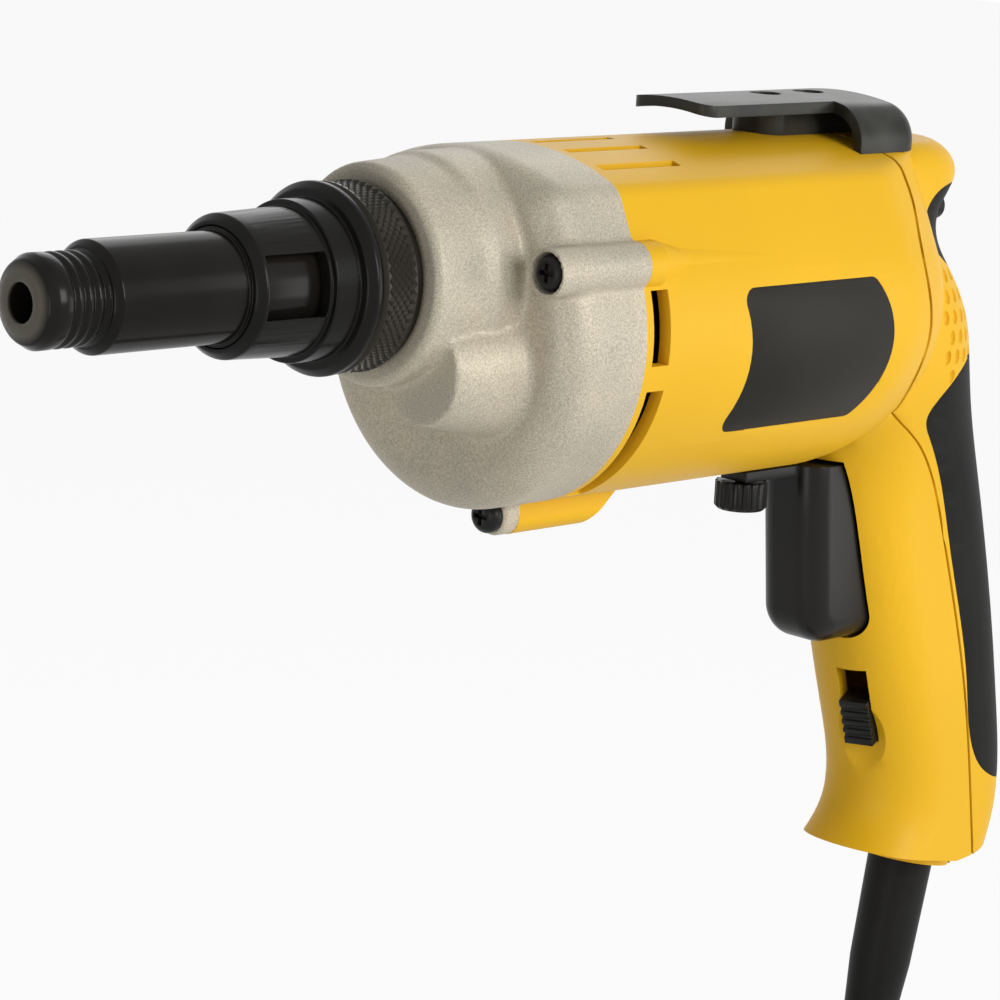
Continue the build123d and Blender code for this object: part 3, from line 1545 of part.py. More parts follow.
def write_body():
    housing, cover, skins = make_shells()
    write("motor_housing", housing)
    write("handle_cover", cover)
    write("grip_rubber", skins[0])
    write("web_rubber", skins[1])
    write("label_plate_left", make_label_plate())
    write("label_plate_right", mirrored(make_label_plate()))
    write("cover_screws", *make_cover_screws())
    write("trigger", make_trigger())
    write("speed_knob", make_speed_knob())
    write("reverse_slider", make_reverse_slider())
    write("switch_body", make_switch())
    write("belt_hook", make_belt_hook())
    write("hook_screws", *make_hook_screws())


def write_cord():
    write("cord_clamp", make_cord_clamp())
    write("clamp_screws", *make_clamp_screws())
    write("cord_protector", make_cord_protector())
    write("cord_inner_end", make_cord_inner_end())
    write("cord_stretch", make_cord_stretch())
    write("cord_coil", make_cord_coil())
    write("cord_tie", make_cord_tie())
    write("plug_body", make_plug_body())
    write("plug_blades", *make_plug_blades())


write_nose()
write_gears()
write_motor()
write_body()
write_cord()
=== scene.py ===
from math import atan2, copysign, cos, hypot, radians, sin, tau

import bpy
from mathutils import Matrix, Vector
from mathutils.kdtree import KDTree


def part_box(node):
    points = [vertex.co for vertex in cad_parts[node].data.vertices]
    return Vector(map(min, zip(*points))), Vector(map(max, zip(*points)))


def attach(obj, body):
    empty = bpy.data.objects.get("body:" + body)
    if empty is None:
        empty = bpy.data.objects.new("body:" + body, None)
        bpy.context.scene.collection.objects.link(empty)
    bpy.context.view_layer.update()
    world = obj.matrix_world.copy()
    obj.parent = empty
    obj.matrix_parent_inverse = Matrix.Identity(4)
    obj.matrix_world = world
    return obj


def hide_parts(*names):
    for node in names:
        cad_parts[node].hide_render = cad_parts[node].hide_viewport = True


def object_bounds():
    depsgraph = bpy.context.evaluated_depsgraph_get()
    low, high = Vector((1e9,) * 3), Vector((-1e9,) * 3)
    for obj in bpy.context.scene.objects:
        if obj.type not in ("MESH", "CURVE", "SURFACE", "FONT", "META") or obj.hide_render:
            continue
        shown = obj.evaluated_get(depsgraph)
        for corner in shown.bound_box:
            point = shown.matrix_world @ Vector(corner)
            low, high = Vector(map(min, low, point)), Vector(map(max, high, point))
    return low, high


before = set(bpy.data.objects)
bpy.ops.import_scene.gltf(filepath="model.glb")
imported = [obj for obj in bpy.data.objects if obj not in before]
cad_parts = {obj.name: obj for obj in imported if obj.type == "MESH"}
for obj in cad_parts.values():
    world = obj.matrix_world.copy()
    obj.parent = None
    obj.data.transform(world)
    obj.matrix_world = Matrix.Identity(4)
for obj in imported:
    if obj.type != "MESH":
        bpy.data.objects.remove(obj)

cad_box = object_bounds()
scene = bpy.context.scene
scene.view_settings.view_transform = "Standard"
mm = 0.001

# Camera at the photograph's viewing angle: in front of the tool, on its left and a little above it.
# The place is in the frame of the grip, and the roll is the slight tilt of the picture.
camera_place = (0.692196, 0.545932, 0.202321)
camera_azimuth = 134.962
camera_elevation = 11.688
camera_roll = 3.187
camera_lens = 129.6
camera_sensor = 36.0
camera_range = 20.0

camera_data = bpy.data.cameras.new("camera")
camera_data.lens = camera_lens
camera_data.sensor_width = camera_sensor
camera_data.clip_end = camera_range
camera = bpy.data.objects.new("camera", camera_data)
scene.collection.objects.link(camera)
camera.matrix_world = (
    Matrix.Translation(camera_place)
    @ Matrix.Rotation(radians(camera_azimuth), 4, "Z")
    @ Matrix.Rotation(radians(90.0 - camera_elevation), 4, "X")
    @ Matrix.Rotation(radians(camera_roll), 4, "Z")
)
scene.camera = camera


# Plain white sweep under and behind the tool, with soft boxes above, beside, in front and behind.
# The floor keeps the shadow, and the background is white to the camera and in reflections.
floor_drop = 0.004
floor_half = 6.0
floor_grey = (0.85, 0.85, 0.85, 1.0)
floor_whiteness = 0.93
sky_tint = (0.95, 0.97, 1.0, 1.0)
sky_strength = 0.24
pure_white = (1.0, 1.0, 1.0, 1.0)
tool_middle = Vector((0.1, 0.0, 0.05))


def deselect():
    """Leave edit mode and select nothing, so that the next operator acts on its own piece alone."""
    if bpy.context.object and bpy.context.object.mode != "OBJECT":
        bpy.ops.object.mode_set(mode="OBJECT")
    bpy.ops.object.select_all(action="DESELECT")


def nodes_of(owner):
    """Node tree of a material or of the world, emptied and ready for its nodes."""
    owner.use_nodes = True
    owner.node_tree.nodes.clear()
    return owner.node_tree


def node(tree, kind, sockets, **settings):
    """Add a shader node with its settings, and give each socket its value or the socket that feeds it."""
    made = tree.nodes.new(kind)
    for key, value in settings.items():
        setattr(made, key, value)
    for key, value in sockets.items():
        if isinstance(value, bpy.types.NodeSocket):
            tree.links.new(value, made.inputs[key])
        else:
            made.inputs[key].default_value = value
    return made


def calculated(tree, operation, first, second):
    """Socket with what an operation makes of two values."""
    return node(tree, "ShaderNodeMath", {0: first, 1: second}, operation=operation).outputs[0]


def seen_by_eye(tree):
    """One for camera, glossy and transmission rays, and nothing for the light that falls on the tool."""
    rays = node(tree, "ShaderNodeLightPath", {}).outputs
    mirrored = calculated(tree, "MAXIMUM", rays["Is Camera Ray"], rays["Is Glossy Ray"])
    return calculated(tree, "MAXIMUM", mirrored, rays["Is Transmission Ray"])


def lit_and_seen(tree, whiteness, lit, seen):
    """Shader that lights the tool in one way and looks another way to the eye."""
    return node(tree, "ShaderNodeMixShader", {0: whiteness, 1: lit.outputs[0], 2: seen.outputs[0]}).outputs[0]


def soft_box(name, place, width, height, watts):
    """Rectangular lamp at a place, turned to the middle of the tool."""
    lamp = bpy.data.lights.new(name, "AREA")
    lamp.shape = "RECTANGLE"
    lamp.size = width
    lamp.size_y = height
    lamp.energy = watts
    holder = bpy.data.objects.new(name, lamp)
    scene.collection.objects.link(holder)
    holder.location = place
    holder.rotation_euler = (tool_middle - Vector(place)).to_track_quat("-Z", "Y").to_euler()


world = bpy.data.worlds.new("studio")
scene.world = world
world_tree = nodes_of(world)
world_light = node(world_tree, "ShaderNodeBackground", {"Color": sky_tint, "Strength": sky_strength})
world_white = node(world_tree, "ShaderNodeBackground", {"Color": pure_white, "Strength": 1.0})
world_mix = lit_and_seen(world_tree, seen_by_eye(world_tree), world_light, world_white)
node(world_tree, "ShaderNodeOutputWorld", {"Surface": world_mix})

deselect()
floor_level = cad_box[0][2] - floor_drop
bpy.ops.mesh.primitive_plane_add(size=2 * floor_half, location=(0.0, 0.0, floor_level))
bpy.ops.object.transform_apply(location=True)
floor = bpy.context.object
floor.name = "floor"
floor_paint = bpy.data.materials.new("floor_white")
floor_tree = nodes_of(floor_paint)
floor_matt = node(floor_tree, "ShaderNodeBsdfDiffuse", {"Color": floor_grey})
floor_white = node(floor_tree, "ShaderNodeEmission", {"Color": pure_white})
floor_share = calculated(floor_tree, "MULTIPLY", seen_by_eye(floor_tree), floor_whiteness)
floor_mix = lit_and_seen(floor_tree, floor_share, floor_matt, floor_white)
node(floor_tree, "ShaderNodeOutputMaterial", {"Surface": floor_mix})
floor.data.materials.append(floor_paint)

soft_box("key_box", place=(0.0, 1.25, 0.5), width=0.6, height=0.6, watts=11.0)
soft_box("side_box", place=(-0.75, 1.0, 0.0), width=0.5, height=0.8, watts=4.0)
soft_box("front_box", place=(1.3, 0.35, -0.05), width=0.4, height=0.6, watts=2.6)
soft_box("back_box", place=(-0.6, -0.7, 0.8), width=0.8, height=0.8, watts=3.0)


# Rubber mains cord: about 2.3 m, as such tools have, straight down out of its protector and then wound for
# storage into a tied coil of four layers, which hangs below the view. The turns follow one steady spiral.
cord_diameter = 8.0 * mm
cord_tilt = 10.7
cord_exit = Vector((-0.006, 0.0, -0.063))
protector_length = 60.0 * mm
free_run = 34.0 * mm
coil_mean_radius = 44.0 * mm
coil_pitch = 8.8 * mm
coil_layers = 4
turns_per_layer = 2
reverse_share = 0.25
coil_start_angle = 183.0
coil_tail = 40.0 * mm
points_per_turn = 24
coil_turns = coil_layers * turns_per_layer
reversals = [turns_per_layer * number for number in range(1, coil_layers)]
small_turn = 0.001


def clamped(value):
    """Value held between nothing and one."""
    return min(max(value, 0.0), 1.0)


def coil_point(turn):
    """Point of the winding about the coil's centre: inwards through one layer and out through the next."""
    layer = min(int(turn // turns_per_layer), coil_layers - 1)
    swing = turns_per_layer / 2 - (turn - layer * turns_per_layer)
    if layer % 2:
        swing = -swing
    nearest = min(abs(turn - reversal) for reversal in reversals)
    swing -= copysign(max(reverse_share - nearest, 0) ** 2 / (2 * reverse_share), swing)
    height = 0.0
    for reversal in reversals:
        share = clamped((turn - reversal) / (2 * reverse_share) + 0.5)
        height += 3 * share**2 - 2 * share**3
    radius = coil_mean_radius + coil_pitch * swing
    angle = radians(coil_start_angle + 360 * turn)
    return Vector((radius * cos(angle), coil_pitch * height, radius * sin(angle)))


def coil_direction(first, second):
    """Direction of the winding from one turn to another that is close by."""
    return (coil_point(second) - coil_point(first)).normalized()


cord_down = Vector((sin(radians(cord_tilt)), 0.0, -cos(radians(cord_tilt))))
coil_in = coil_direction(0.0, small_turn)
coil_out = coil_direction(coil_turns - small_turn, coil_turns)
protector_end = cord_exit + cord_down * protector_length
route_bend = protector_end + cord_down * free_run
route_end = route_bend + coil_in * free_run
coil_centre = route_end + coil_in * cord_diameter - coil_point(0.0)
coil_end = coil_centre + coil_point(coil_turns) + coil_out * coil_tail
cord_points = [protector_end, route_bend, route_end]
for step in range(coil_turns * points_per_turn + 1):
    cord_points.append(coil_centre + coil_point(step / points_per_turn))
cord_points.append(coil_end)

cord_curve = bpy.data.curves.new("mains_cord", "CURVE")
cord_curve.dimensions = "3D"
cord_curve.bevel_depth = cord_diameter / 2
cord_curve.bevel_resolution = 5
cord_curve.resolution_u = 3
cord_curve.use_fill_caps = True
cord_line = cord_curve.splines.new("NURBS")
cord_line.points.add(len(cord_points) - 1)
for place, point in zip(cord_line.points, cord_points):
    place.co = (*point, 1.0)
cord_line.order_u = 3
cord_line.use_endpoint_u = True
mains_cord = bpy.data.objects.new("mains_cord", cord_curve)
scene.collection.objects.link(mains_cord)

grain_detail = 2.0
cloud_detail = 3.0
cloud_span = (0.35, 0.65)
speckle_span = (0.3, 0.7)
whole_span = (0.0, 1.0)


def grain_group():
    """Shader group that every finish shares: fine grain for bump and speckle, and a broad cloudy tone."""
    group = bpy.data.node_groups.new("surface_grain", "ShaderNodeTree")
    group.interface.new_socket(name="Stretch", in_out="INPUT", socket_type="NodeSocketVector")
    for name in ("Grain Scale", "Cloud Scale"):
        group.interface.new_socket(name=name, in_out="INPUT", socket_type="NodeSocketFloat")
    for name in ("Grain", "Cloud"):
        group.interface.new_socket(name=name, in_out="OUTPUT", socket_type="NodeSocketFloat")
    entry = node(group, "NodeGroupInput", {}).outputs
    place = node(group, "ShaderNodeTexCoord", {}).outputs["Object"]
    stretched = node(group, "ShaderNodeVectorMath", {0: place, 1: entry["Stretch"]}, operation="MULTIPLY")
    grain = node(group, "ShaderNodeTexNoise", {
        "Vector": stretched.outputs[0],
        "Scale": entry["Grain Scale"],
        "Detail": grain_detail,
    })
    cloud = node(group, "ShaderNodeTexNoise", {
        "Vector": place,
        "Scale": entry["Cloud Scale"],
        "Detail": cloud_detail,
    })
    node(group, "NodeGroupOutput", {"Grain": grain.outputs[0], "Cloud": cloud.outputs[0]})
    return group


def ramp(tree, value, span, ends=whole_span):
    """Socket that goes from one end to the other as a value goes through a span, and stays there."""
    made = node(tree, "ShaderNodeMapRange", {
        "Value": value,
        "From Min": span[0],
        "From Max": span[1],
        "To Min": ends[0],
        "To Max": ends[1],
    })
    return made.outputs[0]


def blended(tree, factor, *colours):
    """Colour socket that goes from one colour to the other; a colour is a socket or three numbers."""
    first, second = ((*colour, 1.0) if isinstance(colour, tuple) else colour for colour in colours)
    mix = node(tree, "ShaderNodeMix", {"Factor": factor, "A": first, "B": second}, data_type="RGBA")
    return mix.outputs["Result"]


def finish_of(name, colour, cloudy, roughness, metallic=0.0, gloss=0.5, coat=0.0, grain=2000.0, cloud=40.0,
              stretch=(1.0, 1.0, 1.0), bump=0.1, depth=0.05 * mm, speckle=0.0,
              bare_and_highlight_span=None, bare_and_highlight_colour=None):
    """Material that drifts between two colours and two roughnesses in broad clouds, with a fine grain.

    The grain may speckle the colour too. A bare-and-highlight span is where, along x, the finish gives way to
    a lighter colour, which stands partly for a face cut after the finish was put on and partly for a painted
    highlight.
    """
    material = bpy.data.materials.new(name)
    tree = nodes_of(material)
    scales = {"Stretch": stretch, "Grain Scale": grain, "Cloud Scale": cloud}
    detail = node(tree, "ShaderNodeGroup", scales, node_tree=surface_grain).outputs
    paint = blended(tree, ramp(tree, detail["Cloud"], cloud_span), colour, cloudy)
    if speckle:
        dots = ramp(tree, detail["Grain"], speckle_span, (1.0 - speckle, 1.0 + speckle))
        paint = node(tree, "ShaderNodeVectorMath", {0: paint, "Scale": dots}, operation="SCALE").outputs[0]
    # A lighter colour along a span in x: partly a bare cut face, partly a painted highlight.
    if bare_and_highlight_span:
        place = node(tree, "ShaderNodeTexCoord", {}).outputs["Object"]
        along = node(tree, "ShaderNodeSeparateXYZ", {0: place}).outputs["X"]
        paint = blended(tree, ramp(tree, along, bare_and_highlight_span), paint, bare_and_highlight_colour)
    relief = node(tree, "ShaderNodeBump", {"Strength": bump, "Distance": depth, "Height": detail["Grain"]})
    skin = node(tree, "ShaderNodeBsdfPrincipled", {
        "Base Color": paint,
        "Metallic": metallic,
        "Roughness": ramp(tree, detail["Cloud"], whole_span, roughness),
        "Specular IOR Level": gloss,
        "Coat Weight": coat,
        "Normal": relief.outputs[0],
    })
    node(tree, "ShaderNodeOutputMaterial", {"Surface": skin.outputs[0]})
    return material


surface_grain = grain_group()
cord_rubber = finish_of(
    "cord_rubber", colour=(0.009, 0.0085, 0.008), cloudy=(0.013, 0.0125, 0.012), roughness=(0.42, 0.55),
    gloss=0.1, grain=1600.0, bump=0.15,
)
mains_cord.data.materials.append(cord_rubber)
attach(mains_cord, "body")
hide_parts("cord_stretch", "cord_coil")


# Cord protector: a tapered rubber sleeve, moulded in one with the flange that the two shells hold.
# Its copy is merged into one skin, and its rims are broken as rubber leaves a mould.
merge_distance = 0.005 * mm
flat_angle = 0.5
crease_angle = 32.0


def take(piece):
    """Make a piece the only one that is selected, and the active one."""
    deselect()
    bpy.context.view_layer.objects.active = piece
    piece.select_set(True)


def apply_all(piece):
    """Make the modifiers of a piece its own mesh."""
    take(piece)
    for modifier in list(piece.modifiers):
        bpy.ops.object.modifier_apply(modifier=modifier.name)


def shade_smooth(piece, angle=crease_angle):
    """Shade a piece smooth, but for edges sharper than the angle."""
    take(piece)
    bpy.ops.object.shade_smooth_by_angle(angle=radians(angle))


def cad_copy(node_name, piece_name, edge=0.0, rounds=2, clamp=False):
    """Merged copy of a CAD node, with sharp edges rounded to a width and the rest shaded smooth."""
    piece = bpy.data.objects.new(piece_name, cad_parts[node_name].data.copy())
    scene.collection.objects.link(piece)
    piece.data.materials.clear()
    take(piece)
    bpy.ops.mesh.customdata_custom_splitnormals_clear()
    bpy.ops.object.mode_set(mode="EDIT")
    bpy.ops.mesh.select_all(action="SELECT")
    bpy.ops.mesh.remove_doubles(threshold=merge_distance)
    bpy.ops.mesh.dissolve_limited(angle_limit=radians(flat_angle))
    bpy.ops.object.mode_set(mode="OBJECT")
    if edge:
        bevel = piece.modifiers.new("edges", "BEVEL")
        bevel.width = edge
        bevel.segments = rounds
        bevel.limit_method = "ANGLE"
        bevel.angle_limit = radians(crease_angle)
        bevel.use_clamp_overlap = clamp
        apply_all(piece)
    shade_smooth(piece)
    return piece


def place_piece(piece, body, slot, material, *replaced):
    """Give a piece its finish, the body it moves with and the nodes that it stands for. The slot is not used.
    """
    piece.data.materials.clear()
    piece.data.materials.append(material)
    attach(piece, body)
    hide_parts(*replaced)


protector = cad_copy("cord_protector", "cord_protector_moulding", edge=0.4 * mm)
place_piece(protector, "body", "cord_black", cord_rubber, "cord_protector")


def dress(material, *names):
    """Give CAD nodes that stay as they are their finish."""
    for name in names:
        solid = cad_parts[name]
        solid.data.materials.clear()
        solid.data.materials.append(material)


blade_brass = finish_of(
    "blade_brass", colour=(0.62, 0.45, 0.16), cloudy=(0.52, 0.37, 0.13), roughness=(0.2, 0.34),
    metallic=1.0, grain=1200.0, stretch=(0.1, 0.1, 3.0), bump=0.06,
)
strap_weave = finish_of(
    "strap_weave", colour=(0.02, 0.02, 0.021), cloudy=(0.03, 0.03, 0.03), roughness=(0.7, 0.85),
    gloss=0.25, grain=1100.0, bump=0.6, depth=0.2 * mm, speckle=0.3,
)
dress(cord_rubber, "cord_inner_end")
dress(blade_brass, "plug_blades")
plug = cad_copy("plug_body", "plug_moulding", edge=0.4 * mm)
place_piece(plug, "body", "cord_black", cord_rubber, "plug_body")
strap = cad_copy("cord_tie", "cord_tie_strap", edge=0.3 * mm)
place_piece(strap, "body", "cord_black", strap_weave, "cord_tie")


# Gear case: a sand-rough aluminium casting with a neck for the nose, a boss over the second shaft and three
# screw lugs. The copy is skinned anew in small facets, and its edges flow as molten metal leaves them.
# Its joint face is moved back before that and cut clean after it, so that it stays flat and sharp.
cast_facet = 0.7 * mm
cast_rounds = 3
cast_crease = 40.0
flow_strength = 0.5
joint_plane = 144.0 * mm
joint_spare = 3.0 * mm


def pick_points(piece, wanted):
    """Go into edit mode with those points of a piece selected that a test wants."""
    take(piece)
    bpy.context.tool_settings.mesh_select_mode = (True, False, False)
    bpy.ops.object.mode_set(mode="EDIT")
    bpy.ops.mesh.select_all(action="DESELECT")
    bpy.ops.object.mode_set(mode="OBJECT")
    for point in piece.data.vertices:
        point.select = wanted(point)
    bpy.ops.object.mode_set(mode="EDIT")


def let_flow(piece, rounds, group=""):
    """Smooth a piece, or a weighted group of its points, in so many rounds."""
    flow = piece.modifiers.new("flow", "SMOOTH")
    flow.factor = flow_strength
    flow.iterations = rounds
    flow.vertex_group = group
    apply_all(piece)


def on_joint_face(point):
    """Whether a point of the case lies on the face that meets the motor housing."""
    return abs(point.co.x - joint_plane) < 2 * merge_distance


gear_case = cad_copy("gear_case", "gear_case_casting")
pick_points(gear_case, on_joint_face)
bpy.ops.transform.translate(value=(-joint_spare, 0.0, 0.0))
bpy.ops.object.mode_set(mode="OBJECT")
skin = gear_case.modifiers.new("cast_skin", "REMESH")
skin.mode = "VOXEL"
skin.voxel_size = cast_facet
let_flow(gear_case, cast_rounds)
bpy.ops.object.mode_set(mode="EDIT")
bpy.ops.mesh.select_all(action="SELECT")
bpy.ops.mesh.bisect(plane_co=(joint_plane, 0.0, 0.0), plane_no=(1.0, 0.0, 0.0), use_fill=True,
                    clear_inner=True)
bpy.ops.object.mode_set(mode="OBJECT")
shade_smooth(gear_case, cast_crease)
cast_aluminium = finish_of(
    "cast_aluminium", colour=(0.56, 0.495, 0.38), cloudy=(0.47, 0.425, 0.335), roughness=(0.4, 0.54),
    metallic=0.12, gloss=0.22, grain=2600.0, cloud=45.0, bump=0.7, depth=0.1 * mm, speckle=0.24,
)
place_piece(gear_case, "body", "cast_aluminium", cast_aluminium, "gear_case")
dress(cast_aluminium, "bearing_plate")


# Case and cover screws: black steel screws. The three in the lugs have a cross recess and hold the gear case
# to the motor housing, and the others hold the handle cover on from behind.
screw_black = finish_of(
    "screw_black", colour=(0.014, 0.014, 0.014), cloudy=(0.022, 0.021, 0.02), roughness=(0.25, 0.4),
    metallic=0.3, gloss=0.12, grain=1500.0, bump=0.2,
)
case_screws = cad_copy("case_screws", "case_screw_set", edge=0.2 * mm)
place_piece(case_screws, "body", "screw_black", screw_black, "case_screws")
cover_screws = cad_copy("cover_screws", "cover_screw_set")
place_piece(cover_screws, "body", "screw_black", screw_black, "cover_screws")


# Gear train: hardened steel shafts and gears that run in sintered bronze bushes, and the bit holder.
# All are machined, so their fine marks run round the axis.
ground_steel = finish_of(
    "ground_steel", colour=(0.5, 0.49, 0.47), cloudy=(0.42, 0.41, 0.4), roughness=(0.2, 0.35),
    metallic=1.0, grain=900.0, stretch=(4.0, 0.05, 0.05), bump=0.08,
)
bush_bronze = finish_of(
    "bush_bronze", colour=(0.46, 0.3, 0.13), cloudy=(0.38, 0.25, 0.11), roughness=(0.35, 0.5),
    metallic=1.0, grain=2600.0, bump=0.2, speckle=0.2,
)
dress(ground_steel, "spindle", "clutch_spring", "drive_gear", "layshaft", "intermediate_gear", "bit_holder",
      "bit_ring", "armature_shaft", "front_bearing", "rear_bearing", "clamp_screws")
dress(bush_bronze, "spindle_front_bush", "layshaft_front_bush", "layshaft_rear_bush", "spindle_rear_bush")


# Nosepiece: a turned steel tube, oiled black, with a threaded tip faced at its mouth, where a lighter colour
# is partly bare steel and partly a painted highlight.
# It slides in the collar to set the depth of the screw.
nose_face = 278.0 * mm
bright_start = nose_face - 0.9 * mm
bright_full = nose_face - 0.2 * mm
# The lighter colour over the front of the tip is partly bare faced steel and partly a painted highlight ring
# round the mouth.
black_oxide = finish_of(
    "black_oxide", colour=(0.006, 0.0052, 0.0045), cloudy=(0.012, 0.010, 0.008), roughness=(0.14, 0.24),
    gloss=0.12, grain=700.0, stretch=(6.0, 0.05, 0.05), bump=0.05,
    bare_and_highlight_span=(bright_start, bright_full), bare_and_highlight_colour=(0.13, 0.115, 0.09),
)
nosepiece = cad_copy("nosepiece", "nosepiece_turned", edge=0.3 * mm, rounds=3)
place_piece(nosepiece, "nose", "nose_steel", black_oxide, "nosepiece")


# Adjusting collar: a black moulded sleeve with windows in it, and a rounded ring to turn it by.
# Turning it moves the nosepiece in or out.
collar_black = finish_of(
    "collar_black", colour=(0.006, 0.0056, 0.005), cloudy=(0.010, 0.0093, 0.0082), roughness=(0.16, 0.28),
    gloss=0.11, grain=1800.0, bump=0.12,
)
collar = cad_copy("adjusting_collar", "collar_moulding", edge=0.35 * mm, rounds=3)
place_piece(collar, "collar", "collar_black", collar_black, "adjusting_collar")


# Lock ring: a steel ring with a fine diamond knurl, which is screwed up against the collar to hold its place.
# The ring is turned from its outline, and every second point of the knurled band is pressed in.
spindle_height = 95.0 * mm
ring_low, ring_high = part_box("lock_ring")
ring_front = ring_high[0]
ring_rear = ring_low[0]
ring_radius = 20.0 * mm
ring_bevel = 0.8 * mm
ring_bore = 16.05 * mm
band_length = 2.5 * mm
band_radius = 18.8 * mm
knurl_rows = 9
knurl_points = 120
knurl_depth = 0.55 * mm
knurl_crease = 20.0
knurl_front = ring_front - ring_bevel
knurl_rear = ring_rear + band_length
row_pitch = (knurl_front - knurl_rear) / knurl_rows


def turned_piece(name, outline, steps):
    """Closed outline of distances along and away from the spindle, spun round it in so many steps."""
    deselect()
    bpy.ops.mesh.primitive_plane_add(size=merge_distance)
    piece = bpy.context.object
    piece.name = name
    bpy.ops.object.mode_set(mode="EDIT")
    bpy.ops.mesh.select_all(action="SELECT")
    bpy.ops.mesh.merge(type="CENTER")
    points = [Vector((x, 0.0, spindle_height + radius)) for x, radius in outline]
    bpy.ops.transform.translate(value=points[0])
    for here, there in zip(points, points[1:] + points[:1]):
        bpy.ops.mesh.extrude_region_move(TRANSFORM_OT_translate={"value": there - here})
    bpy.ops.mesh.select_all(action="SELECT")
    bpy.ops.mesh.spin(steps=steps, angle=tau, center=(0.0, 0.0, spindle_height), axis=(1.0, 0.0, 0.0))
    bpy.ops.mesh.select_all(action="SELECT")
    bpy.ops.mesh.remove_doubles(threshold=merge_distance)
    bpy.ops.mesh.normals_make_consistent(inside=False)
    bpy.ops.object.mode_set(mode="OBJECT")
    return piece


def pressed_in(point):
    """Whether a point of the ring is one of every second one that the knurling wheel presses in."""
    away = hypot(point.co.y, point.co.z - spindle_height)
    row = round((knurl_front - point.co.x) / row_pitch)
    column = round(atan2(point.co.y, point.co.z - spindle_height) / tau * knurl_points)
    inside_band = abs(away - ring_radius) < merge_distance and 0 < row < knurl_rows
    return inside_band and (row + column) % 2 == 1


ring_outline = [(ring_front, ring_bore), (ring_front, ring_radius - ring_bevel)]
for row in range(knurl_rows + 1):
    ring_outline.append((knurl_front - row * row_pitch, ring_radius))
ring_outline += [(knurl_rear, band_radius), (ring_rear, band_radius), (ring_rear, ring_bore)]
lock_ring = turned_piece("lock_ring_knurled", ring_outline, knurl_points)
pick_points(lock_ring, pressed_in)
pressed = 1.0 - knurl_depth / ring_radius
bpy.ops.transform.resize(value=(1.0, pressed, pressed), center_override=(0.0, 0.0, spindle_height))
bpy.ops.mesh.select_all(action="SELECT")
bpy.ops.mesh.quads_convert_to_tris(quad_method="SHORTEST_DIAGONAL")
bpy.ops.object.mode_set(mode="OBJECT")
shade_smooth(lock_ring, knurl_crease)
ring_gunmetal = finish_of(
    "ring_gunmetal", colour=(0.018, 0.0155, 0.011), cloudy=(0.028, 0.024, 0.017), roughness=(0.28, 0.4),
    metallic=0.6, gloss=0.3, grain=1500.0, bump=0.1,
)
place_piece(lock_ring, "lock", "ring_gunmetal", ring_gunmetal, "lock_ring")


# Motor: varnished lamination packs, copper windings and commutator, carbon brushes in brass boxes, and a
# moulded fan behind its baffle. They show only through the vents, and keep the shape of their nodes.
lamination_steel = finish_of(
    "lamination_steel", colour=(0.2, 0.19, 0.18), cloudy=(0.15, 0.14, 0.135), roughness=(0.35, 0.5),
    metallic=0.9, grain=1000.0, stretch=(3.0, 0.02, 0.02), bump=0.6, depth=0.2 * mm,
)
winding_copper = finish_of(
    "winding_copper", colour=(0.5, 0.19, 0.06), cloudy=(0.38, 0.13, 0.04), roughness=(0.25, 0.4),
    metallic=0.9, coat=0.4, grain=900.0, stretch=(0.1, 2.0, 2.0), bump=0.6, depth=0.3 * mm,
)
fan_moulding = finish_of(
    "fan_moulding", colour=(0.03, 0.03, 0.03), cloudy=(0.04, 0.04, 0.04), roughness=(0.45, 0.6),
    grain=2200.0, bump=0.15,
)
brush_brass = finish_of(
    "brush_brass", colour=(0.6, 0.42, 0.15), cloudy=(0.5, 0.34, 0.12), roughness=(0.25, 0.4),
    metallic=1.0, grain=1500.0, bump=0.08,
)
brush_carbon = finish_of(
    "brush_carbon", colour=(0.02, 0.02, 0.021), cloudy=(0.03, 0.03, 0.03), roughness=(0.5, 0.65),
    grain=3000.0, bump=0.3, speckle=0.3,
)
dress(lamination_steel, "armature_core", "field_core")
dress(winding_copper, "armature_winding", "commutator", "field_coils")
dress(fan_moulding, "cooling_fan", "fan_baffle")
dress(brush_brass, "brush_holder_left", "brush_holder_right")
dress(brush_carbon, "brush_left", "brush_right")


# Motor housing: a yellow glass-filled moulding, satin and faintly pebbled, that runs down into the front of
# the handle. The copy is cut finely round the crease between barrel and handle and smoothed there to a soft
# hollow, which fades out towards the seam and the trigger's opening.
yellow_moulding = finish_of(
    "yellow_moulding", colour=(0.84, 0.475, 0.013), cloudy=(0.80, 0.45, 0.012), roughness=(0.4, 0.5),
    gloss=0.2, grain=2400.0, cloud=16.0, bump=0.1,
)
blend_reach = 10.0 * mm
blend_core = 0.3
blend_edge = 4.0 * mm
blend_pitch = 2.0 * mm
blend_rounds = 60
blend_from = Vector((20.0 * mm, 0.0, 30.0 * mm))
blend_to = Vector((92.0 * mm, 0.0, 61.0 * mm))
crease_turn = 9.0
opening_half = 11.0 * mm
ray_start = 0.3 * mm
along_barrel = Vector((1.0, 0.0, 0.0))
upwards = Vector((0.0, 0.0, 1.0))


def cut_across(piece, axis, start, end):
    """Cut the faces of a piece by planes across an axis, so that they can bend there."""
    take(piece)
    bpy.ops.object.mode_set(mode="EDIT")
    for step in range(round((end - start) / blend_pitch) + 1):
        bpy.ops.mesh.select_all(action="SELECT")
        bpy.ops.mesh.bisect(plane_co=axis * (start + step * blend_pitch), plane_no=axis)
    bpy.ops.object.mode_set(mode="OBJECT")


